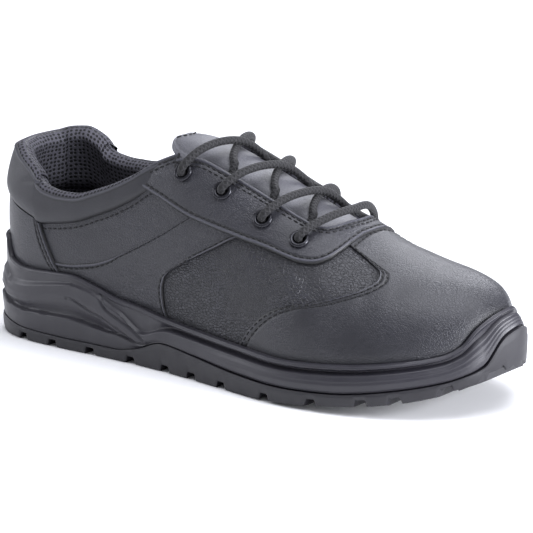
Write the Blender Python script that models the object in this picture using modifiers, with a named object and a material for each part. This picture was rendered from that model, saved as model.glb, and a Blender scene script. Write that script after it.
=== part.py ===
"""Black leather safety sneaker for the right foot, standing empty on its sole.

The shoe lies along X with its toe at +X. Its outer side, the side of the little toe, faces -Y.
Z is up and the floor is at z = 0. Lengths are in metres. Each table holds shares, chosen by hand, of the
named sizes, with a row for each section.
"""

import math

import bmesh
import bpy
import numpy as np
from mathutils import Vector
from mathutils.bvhtree import BVHTree

# Driving sizes of the sole
LENGTH = 0.2965
BALL_WIDTH = 0.109
HEEL_WIDTH = 0.077
SOLE_HEIGHT = 0.038
TOE_SPRING = 0.0235
LUG_DEPTH = 0.0032
LUG_GAP = 0.0055
TREAD_INSET = 0.021
LIP_WALL = 0.0026
LIP_STEP = 0.0009
MOST_LIP = 0.0085
BED_DEPTH = 0.0030
CHANNEL = 0.0040

# Driving sizes of the upper
INSTEP_HEIGHT = 0.112
COLLAR_HEIGHT = 0.096
FEATHER_INSET = 0.0066
HEEL_AXIS = 0.037
WALL = 0.0022
COLLAR_PAD = 0.0030
OVERLAY = 0.0009
TURNED_EDGE = 0.985
EDGE_SHARE = 0.012
VAMP_END = 0.85
FAR_SHARE = 0.84
WAIST_BOW = 0.7
INSOLE_THICKNESS = 0.0040
TONGUE_THICKNESS = 0.0036

# Driving sizes of the lacing
EYELET_OUTER = 0.0096
EYELET_BORE = 0.0052
EYELET_HEIGHT = 0.0016
BARREL_WALL = 0.0004
LACE_DIAMETER = 0.0039

# Clearances
GAP = 0.0003
HOLE_GAP = 0.0004
LIP_GAP = 0.0009
RIM_GAP = 0.0030
INSOLE_GAP = 0.0010
TONGUE_GAP = 0.0012

# Edges that lie together within this distance are one
MERGE = 2e-5

# Fineness of the faceted solids
HEEL_STEPS = 8
COLLAR_STEPS = 7
THROAT_STEPS = 8
TOE_STEPS = 10
LOW_ROWS = 4
HIGH_ROWS = 3
QUARTER_STEPS = 13
COUNTER_STEPS = 7
VAMP_STEPS = 8
EYESTAY_STEPS = 12
OVERLAY_ROWS = 3
SOLE_STEPS = 38
TREAD_STEPS = 20
INSOLE_STEPS = 26
TONGUE_STEPS = 10
TONGUE_ROWS = 4
ROUND_STEPS = 12
CORD_STEPS = 2
CORD_ROUNDNESS = 1
MOST_FLAT = 0.6

OUTER, INNER = -1.0, 1.0

# Widest line of the sole in plan: along is a share of LENGTH, outer and inner of the width there.
OUTLINE = [
    # along, outer, inner
    (0.010, 0.215, 0.215),
    (0.033, 0.345, 0.345),
    (0.084, 0.448, 0.445),
    (0.169, 0.490, 0.475),
    (0.270, 0.500, 0.430),
    (0.371, 0.472, 0.345),
    (0.472, 0.450, 0.290),
    (0.574, 0.466, 0.310),
    (0.658, 0.503, 0.385),
    (0.725, 0.506, 0.450),
    (0.792, 0.480, 0.470),
    (0.860, 0.420, 0.440),
    (0.932, 0.290, 0.345),
    (0.973, 0.160, 0.205),
]
TIP_SHIFT = 0.045

# Sections of the last. Along is a share of the way from the heel axis to the feather's tip, turn is in
# degrees round the heel axis, side is a share of BALL_WIDTH, crown of INSTEP_HEIGHT. Lean bows the wall
# out, as a share of BALL_WIDTH; rise and reach are the lengths of the profile's two handles, as shares of
# its height and of its width. Even is how far the inner wall takes the width of the outer one, which
# lets it overhang the sole's waist.
LAST = [
    # along, turn, side, crown, lean, rise, reach, even
    (0.000, 90, 0.000, 1.010, 0.022, 0.47, 1.10, 0.00),
    (0.000, 45, 0.000, 1.010, 0.022, 0.47, 1.05, 0.00),
    (0.000, 0, 0.000, 1.010, 0.030, 0.47, 0.98, 0.30),
    (0.091, 0, 0.000, 1.005, 0.030, 0.46, 0.95, 0.80),
    (0.208, 0, 0.000, 1.000, 0.012, 0.47, 0.98, 1.00),
    (0.331, 0, 0.000, 0.985, -0.012, 0.49, 1.06, 0.95),
    (0.446, 0, 0.012, 0.900, -0.020, 0.52, 0.88, 0.85),
    (0.564, 0, 0.040, 0.782, -0.015, 0.56, 0.66, 0.65),
    (0.693, 0, 0.075, 0.652, 0.000, 0.56, 0.55, 0.25),
    (0.760, 0, 0.090, 0.590, 0.008, 0.58, 0.56, 0.10),
    (0.825, 0, 0.100, 0.554, 0.014, 0.60, 0.58, 0.00),
    (0.884, 0, 0.105, 0.528, 0.016, 0.62, 0.60, 0.00),
    (0.938, 0, 0.095, 0.490, 0.014, 0.62, 0.60, 0.00),
    (0.972, 0, 0.078, 0.442, 0.010, 0.60, 0.58, 0.00),
    (0.991, 0, 0.060, 0.378, 0.004, 0.58, 0.56, 0.00),
    (1.000, 0, TIP_SHIFT, 0.290, 0.000, 0.56, 0.55, 0.00),
]

# Heights of the sole along LENGTH: ground is a share of TOE_SPRING, the others of SOLE_HEIGHT.
SOLE = [
    # along, ground, line, bed, rim
    (0.000, 0.10, 0.24, 0.68, 1.32),
    (0.030, 0.03, 0.23, 0.68, 1.30),
    (0.053, 0.00, 0.21, 0.68, 1.03),
    (0.106, 0.00, 0.16, 0.67, 0.96),
    (0.202, 0.00, 0.145, 0.66, 0.99),
    (0.248, 0.00, 0.145, 0.63, 0.92),
    (0.304, 0.00, 0.145, 0.58, 0.80),
    (0.354, 0.00, 0.21, 0.52, 0.745),
    (0.415, 0.00, 0.36, 0.46, 0.67),
    (0.486, 0.00, 0.31, 0.41, 0.62),
    (0.587, 0.00, 0.24, 0.36, 0.578),
    (0.668, 0.03, 0.22, 0.345, 0.55),
    (0.769, 0.14, 0.245, 0.38, 0.59),
    (0.870, 0.30, 0.35, 0.49, 0.68),
    (0.931, 0.49, 0.45, 0.60, 0.765),
    (0.956, 0.63, 0.52, 0.65, 0.87),
    (0.976, 0.74, 0.62, 0.70, 1.10),
    (0.992, 0.86, 0.96, 0.74, 1.23),
    (1.000, 1.00, 1.05, 0.77, 1.27),
]

# Relief of the midsole's side: the height of each line as a share of the way from the outsole to the rim,
# and how far it stands in from the widest line, in shares of FEATHER_INSET.
SIDE_LINES = ("band", "recess", "ridge", "strap", "wall", "groove", "lip")
SIDE = [
    # along, then height and inset of each line in turn
    (0.00, 0.25, 0.00, 0.30, 0.35, 0.36, 0.00, 0.42, 0.05, 0.52, 0.18, 0.60, 0.40, 0.93, 0.40),
    (0.081, 0.28, 0.02, 0.33, 0.38, 0.47, 0.04, 0.53, 0.06, 0.66, 0.16, 0.78, 0.45, 0.93, 0.42),
    (0.202, 0.31, 0.10, 0.36, 0.50, 0.62, 0.15, 0.67, 0.10, 0.84, 0.15, 0.88, 0.45, 0.93, 0.45),
    (0.253, 0.29, 0.10, 0.34, 0.50, 0.60, 0.10, 0.64, 0.05, 0.88, 0.10, 0.91, 0.35, 0.94, 0.45),
    (0.314, 0.28, 0.10, 0.31, 0.35, 0.45, 0.10, 0.48, 0.00, 0.76, 0.05, 0.80, 0.40, 0.92, 0.45),
    (0.374, 0.04, 0.15, 0.07, 0.20, 0.12, 0.10, 0.16, 0.00, 0.34, 0.05, 0.42, 0.45, 0.88, 0.45),
    (0.435, 0.03, 0.20, 0.06, 0.20, 0.10, 0.20, 0.20, 0.20, 0.55, 0.25, 0.72, 0.80, 0.88, 0.45),
    (0.607, 0.05, 0.20, 0.15, 0.12, 0.30, 0.10, 0.45, 0.15, 0.62, 0.28, 0.76, 0.80, 0.88, 0.45),
    (0.860, 0.05, 0.20, 0.15, 0.12, 0.30, 0.10, 0.45, 0.15, 0.62, 0.28, 0.76, 0.80, 0.88, 0.45),
    (0.961, 0.05, 0.22, 0.15, 0.20, 0.30, 0.25, 0.45, 0.35, 0.62, 0.50, 0.76, 0.95, 0.88, 0.75),
    (1.00, 0.08, 0.30, 0.20, 0.35, 0.35, 0.45, 0.50, 0.55, 0.66, 0.70, 0.80, 1.05, 0.92, 1.00),
]

# Gaps between lugs, as shares of LENGTH.
LUG_GAPS = (0.101, 0.170, 0.253, 0.342, 0.420, 0.481, 0.551, 0.648, 0.739, 0.822, 0.872, 0.936, 0.983)

# Top line. The collar's heights on the outer and inner side are shares of COLLAR_HEIGHT by section of the
# last, counted from 0 at the back. Further on, the throat's half width is a share of BALL_WIDTH.
COLLAR = [
    # section, outer height, inner height
    (0.00, 1.005, 1.005),
    (0.70, 1.000, 1.013),
    (1.00, 0.992, 1.028),
    (1.35, 0.955, 1.032),
    (1.65, 0.915, 1.000),
    (2.00, 0.870, 0.942),
    (2.40, 0.825, 0.895),
    (2.75, 0.811, 0.880),
    (3.05, 0.813, 0.880),
    (3.60, 0.862, 0.910),
    (4.15, 0.940, 0.965),
    (4.60, 1.028, 1.035),
    (4.95, 1.075, 1.080),
]
THROAT = [
    # section, half width
    (4.95, 0.205),
    (5.50, 0.176),
    (6.20, 0.178),
    (6.90, 0.186),
    (7.35, 0.190),
    (7.52, 0.172),
    (7.62, 0.120),
    (7.67, 0.060),
    (7.69, 0.000),
]
CORNER = THROAT[0][0]
THROAT_END = THROAT[-1][0]

# Seam under the collar, as a share of the top line's share, and how much of COLLAR_PAD stands above it.
COLLAR_SEAM = [
    # section, seam, pad
    (0.0, 0.62, 1.0),
    (1.4, 0.56, 1.0),
    (2.2, 0.60, 1.0),
    (2.7, 0.67, 1.0),
    (3.5, 0.74, 1.0),
    (4.3, 0.78, 0.7),
    (4.9, 0.80, 0.0),
    (7.6, 0.70, 0.0),
    (15.0, 0.60, 0.0),
]

# Lower edge of the eyestay: a share v of the profile at each section, running out on the crown line.
EYESTAY_EDGE = [
    # section, share
    (4.24, 0.548),
    (4.72, 0.508),
    (5.55, 0.47),
    (6.45, 0.48),
    (7.13, 0.51),
    (7.58, 0.52),
    (7.89, 0.60),
    (8.04, 0.76),
    (8.08, 1.00),
]

# Seams that run down to the rim: section at each share v of the profile.
QUARTER_SEAM = [
    # share, section
    (0.03, 5.09),
    (0.15, 4.94),
    (0.22, 5.02),
    (0.29, 5.47),
    (0.37, 5.92),
    (0.50, 6.50),
]
TOE_SEAM = [
    # share, section
    (0.05, 6.68),
    (0.14, 6.91),
    (0.27, 7.36),
    (0.41, 8.19),
    (0.54, 9.02),
    (0.63, 9.25),
    (0.70, 9.12),
    (0.74, 8.60),
    (0.77, 7.90),
    (1.00, 7.90),
]
COUNTER_EDGE = [
    # share, section
    (0.05, 2.86),
    (0.19, 2.53),
    (0.35, 2.16),
]

# Eyelets from the ankle down: along is a share of LENGTH, gap from the crown line of BALL_WIDTH.
EYELETS = [
    # along, gap
    (0.424, 0.238),
    (0.500, 0.243),
    (0.580, 0.268),
    (0.648, 0.280),
]

# Tongue: its half width as a share of BALL_WIDTH, and how far it sinks below its place in TONGUE_THICKNESS.
TONGUE = [
    # section, half width, drop
    (4.50, 0.060, 0.00),
    (4.53, 0.110, 0.00),
    (4.62, 0.155, 0.00),
    (4.85, 0.190, 0.00),
    (5.60, 0.220, 0.00),
    (6.90, 0.232, 0.05),
    (7.60, 0.235, 0.60),
    (7.80, 0.225, 0.90),
]


# Runs of the lace between one eyelet row and the next: way is a share of the distance between the rows,
# gap a share of the eyelets' gap, from -1 where the run starts to 1 across the throat, and lift is over
# the eyestay in lace diameters.
LACE_OVER = [
    # way, gap, lift
    (0.00, -1.00, -0.50),
    (0.00, -1.00, 0.60),
    (0.12, -0.86, 0.98),
    (0.30, -0.52, 0.64),
    (0.50, 0.00, 0.25),
    (0.70, 0.34, -0.25),
    (0.82, 0.46, -0.55),
    (0.86, 0.50, -0.70),
]
LACE_UNDER = [
    # way, gap, lift
    (0.00, -1.00, -0.50),
    (0.00, -1.00, 0.60),
    (0.12, -0.86, 0.92),
    (0.30, -0.50, 0.15),
    (0.50, 0.00, -0.60),
    (0.70, 0.34, -0.62),
    (0.82, 0.46, -0.66),
    (0.86, 0.50, -0.70),
]
LACE_BAR = [
    # way past the last row, gap, lift
    (0.00, -1.00, -0.50),
    (0.00, -1.00, 0.60),
    (0.12, -0.84, 1.00),
    (0.34, -0.40, 0.90),
    (0.40, 0.00, 0.70),
    (0.34, 0.40, 0.90),
    (0.12, 0.84, 1.00),
    (0.00, 1.00, 0.60),
    (0.00, 1.00, -0.50),
]


def share_curve(knots, values, at):
    """Cubic through the values whose slopes never overshoot: level at each turning point."""
    knots = np.asarray(knots, float)
    values = np.asarray(values, float)
    step = np.diff(knots)
    rise = np.diff(values) / step
    slope = np.zeros(len(knots))
    slope[0], slope[-1] = rise[0], rise[-1]
    same = rise[:-1] * rise[1:] > 0
    mean = 2 * rise[:-1] * rise[1:] / np.where(same, rise[:-1] + rise[1:], 1)
    slope[1:-1] = np.where(same, mean, 0)
    at = np.clip(at, knots[0], knots[-1])
    i = np.clip(np.searchsorted(knots, at, side="right") - 1, 0, len(step) - 1)
    h = step[i]
    t = (at - knots[i]) / h
    near = (2 * t**3 - 3 * t**2 + 1) * values[i] + (t**3 - 2 * t**2 + t) * h * slope[i]
    far = (3 * t**2 - 2 * t**3) * values[i + 1] + (t**3 - t**2) * h * slope[i + 1]
    return near + far


def natural_curve(values, at):
    """Cubic spline through values a step apart, with no bending at its ends."""
    values = np.asarray(values, float)
    n = len(values)
    matrix = 4 * np.eye(n) + np.eye(n, k=1) + np.eye(n, k=-1)
    matrix[0, 0] = matrix[-1, -1] = 2
    right = np.zeros(n)
    right[1:-1] = 3 * (values[2:] - values[:-2])
    right[0], right[-1] = 3 * (values[1] - values[0]), 3 * (values[-1] - values[-2])
    slope = np.linalg.solve(matrix, right)
    at = np.clip(at, 0, n - 1)
    i = np.minimum(at.astype(int), n - 2)
    t = at - i
    near = (2 * t**3 - 3 * t**2 + 1) * values[i] + (t**3 - 2 * t**2 + t) * slope[i]
    return near + (3 * t**2 - 2 * t**3) * values[i + 1] + (t**3 - t**2) * slope[i + 1]


def local_width(along):
    """Width that the outline's shares follow: HEEL_WIDTH behind, BALL_WIDTH in front."""
    t = np.clip((along - 0.25) / 0.35, 0, 1)
    t = t * t * (3 - 2 * t)
    return HEEL_WIDTH + (BALL_WIDTH - HEEL_WIDTH) * t


def outline_points(steps):
    """Closed outline in plan and its outward normals: back, outer side, tip, inner side."""
    along, outer, inner = np.array(OUTLINE).T
    width = local_width(along)
    tip = np.array([[LENGTH, TIP_SHIFT * BALL_WIDTH]])
    sides = (
        np.stack([along * LENGTH, -outer * width], 1),
        np.stack([along * LENGTH, inner * width], 1)[::-1],
    )
    ring = np.vstack([[[0.0, 0.0]], sides[0], tip, sides[1]])
    before, after, further = np.roll(ring, 1, 0), np.roll(ring, -1, 0), np.roll(ring, -2, 0)
    t = np.linspace(0, 1, 24, endpoint=False)[:, None, None]
    curve = 0.5 * (
        2 * ring
        + (after - before) * t
        + (2 * before - 5 * ring + 4 * after - further) * t**2
        + (3 * ring - before - 3 * after + further) * t**3
    )
    curve = curve.transpose(1, 0, 2).reshape(-1, 2)
    turn = (len(sides[0]) + 1) * 24
    points = []
    for side in (curve[: turn + 1], np.vstack([curve[turn:], curve[:1]])):
        run = np.concatenate([[0], np.cumsum(np.linalg.norm(np.diff(side, axis=0), axis=1))])
        even = np.linspace(0, run[-1], steps + 1)[:-1]
        points.append(np.stack([np.interp(even, run, side[:, i]) for i in (0, 1)], 1))
    points = np.vstack(points)
    tangent = np.roll(points, -1, 0) - np.roll(points, 1, 0)
    tangent /= np.linalg.norm(tangent, axis=1)[:, None]
    return points, np.stack([tangent[:, 1], -tangent[:, 0]], 1)


PLAN, PLAN_OUT = outline_points(240)
FEATHER = PLAN - FEATHER_INSET * PLAN_OUT
FEATHER_TIP = FEATHER[:, 0].max()


def sole_height(name, x):
    """Height of a named line of the sole at x."""
    column = ("ground", "line", "bed", "rim").index(name) + 1
    table = np.array(SOLE)
    size = TOE_SPRING if name == "ground" else SOLE_HEIGHT
    return size * share_curve(table[:, 0], table[:, column], np.asarray(x) / LENGTH)


def section_rows(k):
    """Along, turn, side, crown, lean, rise, reach and even of the last at section k, in metres and radians."""
    table = np.array(LAST)
    count = np.arange(len(table))
    along = HEEL_AXIS + (FEATHER_TIP - HEEL_AXIS) * share_curve(count, table[:, 0], k)
    turn = np.radians(share_curve(count, table[:, 1], k))
    side, crown, lean, rise, reach, even = (natural_curve(table[:, i], k) for i in range(2, 8))
    return along, turn, side * BALL_WIDTH, crown * INSTEP_HEIGHT, lean * BALL_WIDTH, rise, reach, even


def feather_reach(x, y, turn, side):
    """Distance from the last's spine to the feather line, in the plane of a section."""
    ahead = np.stack([-np.sin(turn), side * np.cos(turn)], -1)[:, None, :]
    start = np.stack([x, y], -1)[:, None, :]
    edge = np.roll(FEATHER, -1, 0) - FEATHER
    cross = ahead[..., 0] * edge[:, 1] - ahead[..., 1] * edge[:, 0]
    cross = np.where(np.abs(cross) < 1e-12, 1e-12, cross)
    away = FEATHER - start
    run = (away[..., 0] * edge[:, 1] - away[..., 1] * edge[:, 0]) / cross
    place = (away[..., 0] * ahead[..., 1] - away[..., 1] * ahead[..., 0]) / cross
    hit = (place >= -1e-9) & (place <= 1 + 1e-9) & (run > 0)
    found = np.where(hit, run, np.inf).min(axis=1)
    return np.where(np.isfinite(found), found, 0.0)


def last_points(side, k, v):
    """Point of the last at section k, at share v of the way up the profile from the feather to the crown."""
    side, k, v = np.broadcast_arrays(side, np.asarray(k, float), np.asarray(v, float))
    shape = k.shape
    side, k, v = side.ravel(), k.ravel(), v.ravel()
    x, turn, y, crown, lean, rise, reach, even = section_rows(k)
    low = feather_reach(x, y, turn, side)
    wide = low + np.where(side > 0, even, 0) * (feather_reach(x, y, turn, 0 * side + OUTER) - low)
    bottom = sole_height("bed", x - low * np.sin(turn)) + GAP
    high = np.maximum(crown - bottom, 0)
    bow = lean * np.clip(low / (0.1 * BALL_WIDTH), 0, 1)
    first, second, third = 3 * v * (1 - v) ** 2, 3 * v**2 * (1 - v), v**3
    out = low * (1 - v) ** 3 + (low + WAIST_BOW * (wide - low) + bow) * first + reach * wide * second
    up = bottom + high * (rise * first + second + third)
    points = np.stack([x - out * np.sin(turn), y + side * out * np.cos(turn), up], -1)
    return points.reshape(shape + (3,))


def solve_share(measure, target):
    """Share v in 0..1 at which a measure that falls with v reaches its target, by halving."""
    low = np.zeros_like(target)
    high = np.ones_like(target)
    for _ in range(30):
        middle = (low + high) / 2
        above = measure(middle) > target
        low = np.where(above, middle, low)
        high = np.where(above, high, middle)
    return (low + high) / 2


def share_at_height(side, k, height):
    """Share v at which the profile of section k reaches a height."""
    return solve_share(lambda v: -last_points(side, k, v)[..., 2], -height)


def share_at_gap(side, k, gap):
    """Share v at which the profile of section k comes within a distance of the crown line."""
    _, _, y, *_ = section_rows(k)
    return solve_share(lambda v: side * (last_points(side, k, v)[..., 1] - y), gap)


def table_curve(table, at, column=1):
    """A table's column as a curve over its first column."""
    table = np.array(table)
    return share_curve(table[:, 0], table[:, column], at)


def top_share(side, k):
    """Share v of the top line: the collar behind, then the throat, then the crown line itself."""
    height = np.where(side > 0, table_curve(COLLAR, k, 2), table_curve(COLLAR, k))
    behind = share_at_height(side, k, COLLAR_HEIGHT * height)
    gap = BALL_WIDTH * table_curve(THROAT, k) * np.where(side > 0, FAR_SHARE, 1)
    ahead = np.where(k < THROAT_END, share_at_gap(side, k, gap), 1.0)
    return np.where(k < CORNER, behind, ahead)


def rim_share(side, k):
    """Share v a little above the sole's rim beside it, or 1 where the rim stands over the crown line."""
    foot = last_points(side, k, np.zeros(k.shape))[..., :2]
    beside = np.linalg.norm(foot[..., None, :] - FEATHER, axis=-1).argmin(axis=-1)
    return share_at_height(side, k, sole_height("rim", PLAN[beside, 0]) + RIM_GAP)


def signed_points(k, w):
    """Point of the last at section k and w, from -1 at the outer feather over 0 on the crown line to 1."""
    return last_points(np.where(w < 0, OUTER, INNER), k, 1 - np.abs(w))


def lifted(points, lift):
    """Grid of points moved out along their normals, by one lift or a grid of lifts."""
    closed = np.allclose(points[:, 0], points[:, -1], atol=1e-7)
    if closed:
        points = np.concatenate([points[:, -2:-1], points, points[:, 1:2]], axis=1)
    normal = np.cross(np.gradient(points, axis=0), np.gradient(points, axis=1))
    if closed:
        points, normal = points[:, 1:-1], normal[:, 1:-1]
    heart = np.stack(
        [
            np.clip(points[..., 0], HEEL_AXIS, 0.8 * LENGTH),
            0 * points[..., 1],
            np.full(points.shape[:2], SOLE_HEIGHT),
        ],
        -1,
    )
    outward = np.sign((normal * (points - heart)).sum(-1, keepdims=True))
    normal *= outward / (np.linalg.norm(normal, axis=-1, keepdims=True) + 1e-15)
    return points + normal * np.broadcast_to(lift, points.shape[:2])[..., None]


def grid_faces(rows, columns, start=0):
    """Quads of a grid of rows by columns of points, numbered row by row."""
    corner = np.arange(rows * columns).reshape(rows, columns) + start
    quads = np.stack([corner[:-1, :-1], corner[:-1, 1:], corner[1:, 1:], corner[1:, :-1]], -1)
    return quads.reshape(-1, 4).tolist()


def mesh_object(name, points, faces, material, collection):
    """Named object from points and faces, with doubles merged. A closed one is triangulated, facing outwards."""
    mesh = bpy.data.meshes.new(name)
    mesh.from_pydata(np.asarray(points).reshape(-1, 3).tolist(), [], faces)
    shape = bmesh.new()
    shape.from_mesh(mesh)
    bmesh.ops.remove_doubles(shape, verts=shape.verts, dist=MERGE)
    if all(edge.is_manifold for edge in shape.edges):
        bmesh.ops.recalc_face_normals(shape, faces=shape.faces)
        bmesh.ops.triangulate(shape, faces=shape.faces)
    shape.to_mesh(mesh)
    shape.free()
    return link_object(name, mesh, material, collection)


def link_object(name, mesh, material, collection):
    """Object for a mesh, smooth but for its sharp edges, in its collection."""
    mesh.shade_smooth()
    mesh.set_sharp_from_angle(angle=math.radians(35))
    mesh.materials.clear()
    mesh.materials.append(material)
    item = bpy.data.objects.new(name, mesh)
    collection.objects.link(item)
    return item


def ring_solid(name, loops, material, collection):
    """Closed solid through loops that run round the shoe, from its bottom face to its top face."""
    loops = np.asarray(loops)
    count, around = loops.shape[:2]
    closed = np.concatenate([loops, loops[:, :1]], axis=1)
    faces = grid_faces(count, around + 1)
    for base in (0, (count - 1) * (around + 1)):
        for i in range(around // 2 - 1):
            faces.append([base + i, base + i + 1, base + around - i - 1, base + around - i])
        tip = base + around // 2
        faces.append([tip - 1, tip, tip + 1])
    return mesh_object(name, closed, faces, material, collection)


def sheet_solid(name, points, low, high, material, collection):
    """Closed solid on a grid of the last's points, from one lift to another, walled round its edges."""
    rows, columns = points.shape[:2]
    size = rows * columns
    faces = grid_faces(rows, columns) + grid_faces(rows, columns, size)
    corner = np.arange(size).reshape(rows, columns)
    for edge in (corner[0], corner[:, -1], corner[-1], corner[:, 0]):
        faces += [[a, b, b + size, a + size] for a, b in zip(edge[:-1].tolist(), edge[1:].tolist())]
    layers = np.stack([lifted(points, low), lifted(points, high)])
    return mesh_object(name, layers, faces, material, collection)


def add_boolean(item, other, operation, label):
    """Boolean modifier that joins or cuts one object with another, which becomes a hidden helper."""
    modifier = item.modifiers.new(label, "BOOLEAN")
    modifier.operation = operation
    modifier.object = other
    modifier.solver = "EXACT"
    other.hide_render = True
    other.display_type = "WIRE"


def merge_flat(item):
    """Modifier that joins the faces a Boolean has left in one plane."""
    modifier = item.modifiers.new("Flat", "DECIMATE")
    modifier.decimate_type = "DISSOLVE"
    modifier.angle_limit = math.radians(MOST_FLAT)


def ring_sections():
    """Sides and sections of the upper's columns: back, outer side, tip, inner side and back again."""
    fan = np.linspace(0, 2, HEEL_STEPS + 1)
    collar = np.linspace(2, CORNER, COLLAR_STEPS + 1)[1:]
    turn = np.sin(np.linspace(0, math.pi / 2, THROAT_STEPS + 1))[1:]
    throat = CORNER + (THROAT_END - CORNER) * turn
    toe = np.linspace(THROAT_END, len(LAST) - 1, TOE_STEPS + 1)[1:]
    k = np.concatenate([fan, collar, throat, toe])
    sides = np.concatenate([np.full(len(k), OUTER), np.full(len(k), INNER)])
    return sides, np.concatenate([k, k[::-1]])


def upper_points():
    """Grid of the upper's outer face: rows from the feather to the top line, columns round the shoe."""
    sides, k = ring_sections()
    seam = table_curve(COLLAR_SEAM, k)
    pad = table_curve(COLLAR_SEAM, k, 2)
    low = np.linspace(0, 1, LOW_ROWS + 1)[:, None] * seam
    high = np.linspace(0, 1, HIGH_ROWS + 1)[1:, None]
    share = np.vstack([low, seam + high * (1 - seam)])
    bulge = np.vstack([np.zeros_like(low), np.sqrt(np.sin(math.pi * np.minimum(high, 0.999))) * pad])
    points = last_points(sides, k, share * top_share(sides, k))
    return lifted(points, COLLAR_PAD * bulge)


def plan_loop(inset, height, steps):
    """Loop round the sole at an inset from its widest line, at a height that is a number or a function."""
    plan, out = outline_points(steps)
    inner = plan - out * np.broadcast_to(inset, len(plan))[:, None]
    up = height(inner[:, 0]) if callable(height) else np.broadcast_to(height, len(plan))
    return np.column_stack([inner, up])


def quarter_points():
    """Grid of the quarter's overlay, from its outer front seam round the heel to the inner one."""
    across = np.linspace(-1, 1, 2 * QUARTER_STEPS + 1)
    up = np.linspace(0, 1, OVERLAY_ROWS + 1)[:, None]
    side = np.where(across < 0, OUTER, INNER)
    k = np.abs(across) * 5.0 + 0 * up
    for _ in range(6):
        low = rim_share(side, k)
        seam = table_curve(COLLAR_SEAM, k) * top_share(side, k)
        high = np.minimum(seam, table_curve(EYESTAY_EDGE, np.maximum(k, 4.4)) + 0.03)
        v = low + (high - low) * up
        k = np.abs(across) * table_curve(QUARTER_SEAM, v)
    return last_points(side, k, v)


def counter_points():
    """Grid of the heel counter's overlay, round the heel between the rim and the collar's seam."""
    across = np.linspace(-1, 1, 2 * COUNTER_STEPS + 1)
    up = np.linspace(0, 1, OVERLAY_ROWS + 1)[:, None]
    side = np.where(across < 0, OUTER, INNER)
    k = np.abs(across) * 2.6 + 0 * up
    for _ in range(6):
        low = rim_share(side, k) + EDGE_SHARE
        high = table_curve(COLLAR_SEAM, k) * top_share(side, k) - EDGE_SHARE
        v = low + (high - low) * up
        k = np.abs(across) * table_curve(COUNTER_EDGE, v)
    return last_points(side, k, v)


def vamp_points():
    """Grid of the vamp's overlay, from the toe seam over the crown line to the rim round the toe."""
    across = np.linspace(-1, 1, 2 * VAMP_STEPS + 1)[:, None]
    ahead = np.sin(np.linspace(0, math.pi / 2, TOE_STEPS + 1))
    side = np.where(across < 0, OUTER, INNER) + 0 * ahead
    spread = np.linspace(THROAT_END, len(LAST) - 1, 200)
    last_section = spread[rim_share(np.full(200, OUTER), spread) < VAMP_END].max()
    k = 9 + 0 * side
    for _ in range(12):
        low = rim_share(side, k)
        v = low + (1 - low) * (1 - np.abs(across))
        seam = table_curve(TOE_SEAM, v)
        k = seam + (last_section - seam) * ahead
    return signed_points(k, np.sign(across) * (1 - v))


def eyestay_points():
    """Grid of the eyestay's overlay, a U-shaped band round the throat, from collar to collar."""
    run = np.sin(np.linspace(-math.pi / 2, math.pi / 2, 2 * EYESTAY_STEPS + 1))
    start = EYESTAY_EDGE[0][0]
    side = np.where(run < 0, OUTER, INNER)
    near = 1 - np.abs(run)
    inner_k = start + (THROAT_END + EDGE_SHARE - start) * near
    outer_k = start + (EYESTAY_EDGE[-1][0] - start) * near
    inner_w = 1 - top_share(side, inner_k) * TURNED_EDGE
    outer_w = 1 - table_curve(EYESTAY_EDGE, outer_k)
    inner_w[EYESTAY_STEPS] = outer_w[EYESTAY_STEPS] = 0
    t = np.linspace(0, 1, OVERLAY_ROWS + 1)[:, None]
    k = outer_k + (inner_k - outer_k) * t
    w = outer_w + (inner_w - outer_w) * t
    return signed_points(k, side * w)


def plate_height(x):
    """Top of the outsole inside its lip."""
    return np.minimum(sole_height("line", x) - LIP_STEP, sole_height("bed", x) - BED_DEPTH)


def outsole_loops():
    """Loops of the outsole from the tread to the seat of the midsole, with a lip round it."""
    ground = lambda x: sole_height("ground", x)
    line = lambda x: sole_height("line", x)
    return [
        plan_loop(0.7 * LIP_WALL, ground, SOLE_STEPS),
        plan_loop(0.1 * LIP_WALL, lambda x: ground(x) + 0.4 * LUG_DEPTH, SOLE_STEPS),
        plan_loop(0.0, lambda x: (ground(x) + line(x)) / 2, SOLE_STEPS),
        plan_loop(0.1 * LIP_WALL, line, SOLE_STEPS),
        plan_loop(LIP_WALL, line, SOLE_STEPS),
        plan_loop(LIP_WALL, plate_height, SOLE_STEPS),
    ]


def clear_inset(skin, plan, out, height):
    """Inset, loop point by loop point, at which a level line comes within LIP_GAP of the upper."""
    insets = []
    for (x, y), (a, b), z in zip(plan, out, height):
        hit = skin.ray_cast(Vector((x, y, z)), Vector((-a, -b, 0)))[3]
        insets.append((hit or FEATHER_INSET) - LIP_GAP)
    return np.minimum(insets, MOST_LIP)


def midsole_loops(skin):
    """Loops of the midsole: seat, side with its relief, rim, and the cup that holds the upper."""
    plan, out = outline_points(SOLE_STEPS)
    x = plan[:, 0]
    foot = sole_height("line", x) + GAP
    bed, rim = sole_height("bed", x), sole_height("rim", x)
    inside = LIP_WALL + GAP
    loops = [
        plan_loop(inside, lambda x: plate_height(x) + GAP, SOLE_STEPS),
        plan_loop(inside, foot, SOLE_STEPS),
    ]
    relief = np.array(SIDE)
    for column in range(1, relief.shape[1], 2):
        share = share_curve(relief[:, 0], relief[:, column], x / LENGTH)
        inset = share_curve(relief[:, 0], relief[:, column + 1], x / LENGTH)
        loops.append(plan_loop(inset * FEATHER_INSET, foot + share * (rim - foot), SOLE_STEPS))
    loops.append(plan_loop((inset + 0.1) * FEATHER_INSET, rim, SOLE_STEPS))
    for height in (rim, (bed + 2 * rim) / 3, (2 * bed + rim) / 3):
        loops.append(plan_loop(clear_inset(skin, plan, out, height), height, SOLE_STEPS))
    loops.append(plan_loop(FEATHER_INSET - LIP_GAP, lambda x: sole_height("bed", x), SOLE_STEPS))
    return loops


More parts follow.
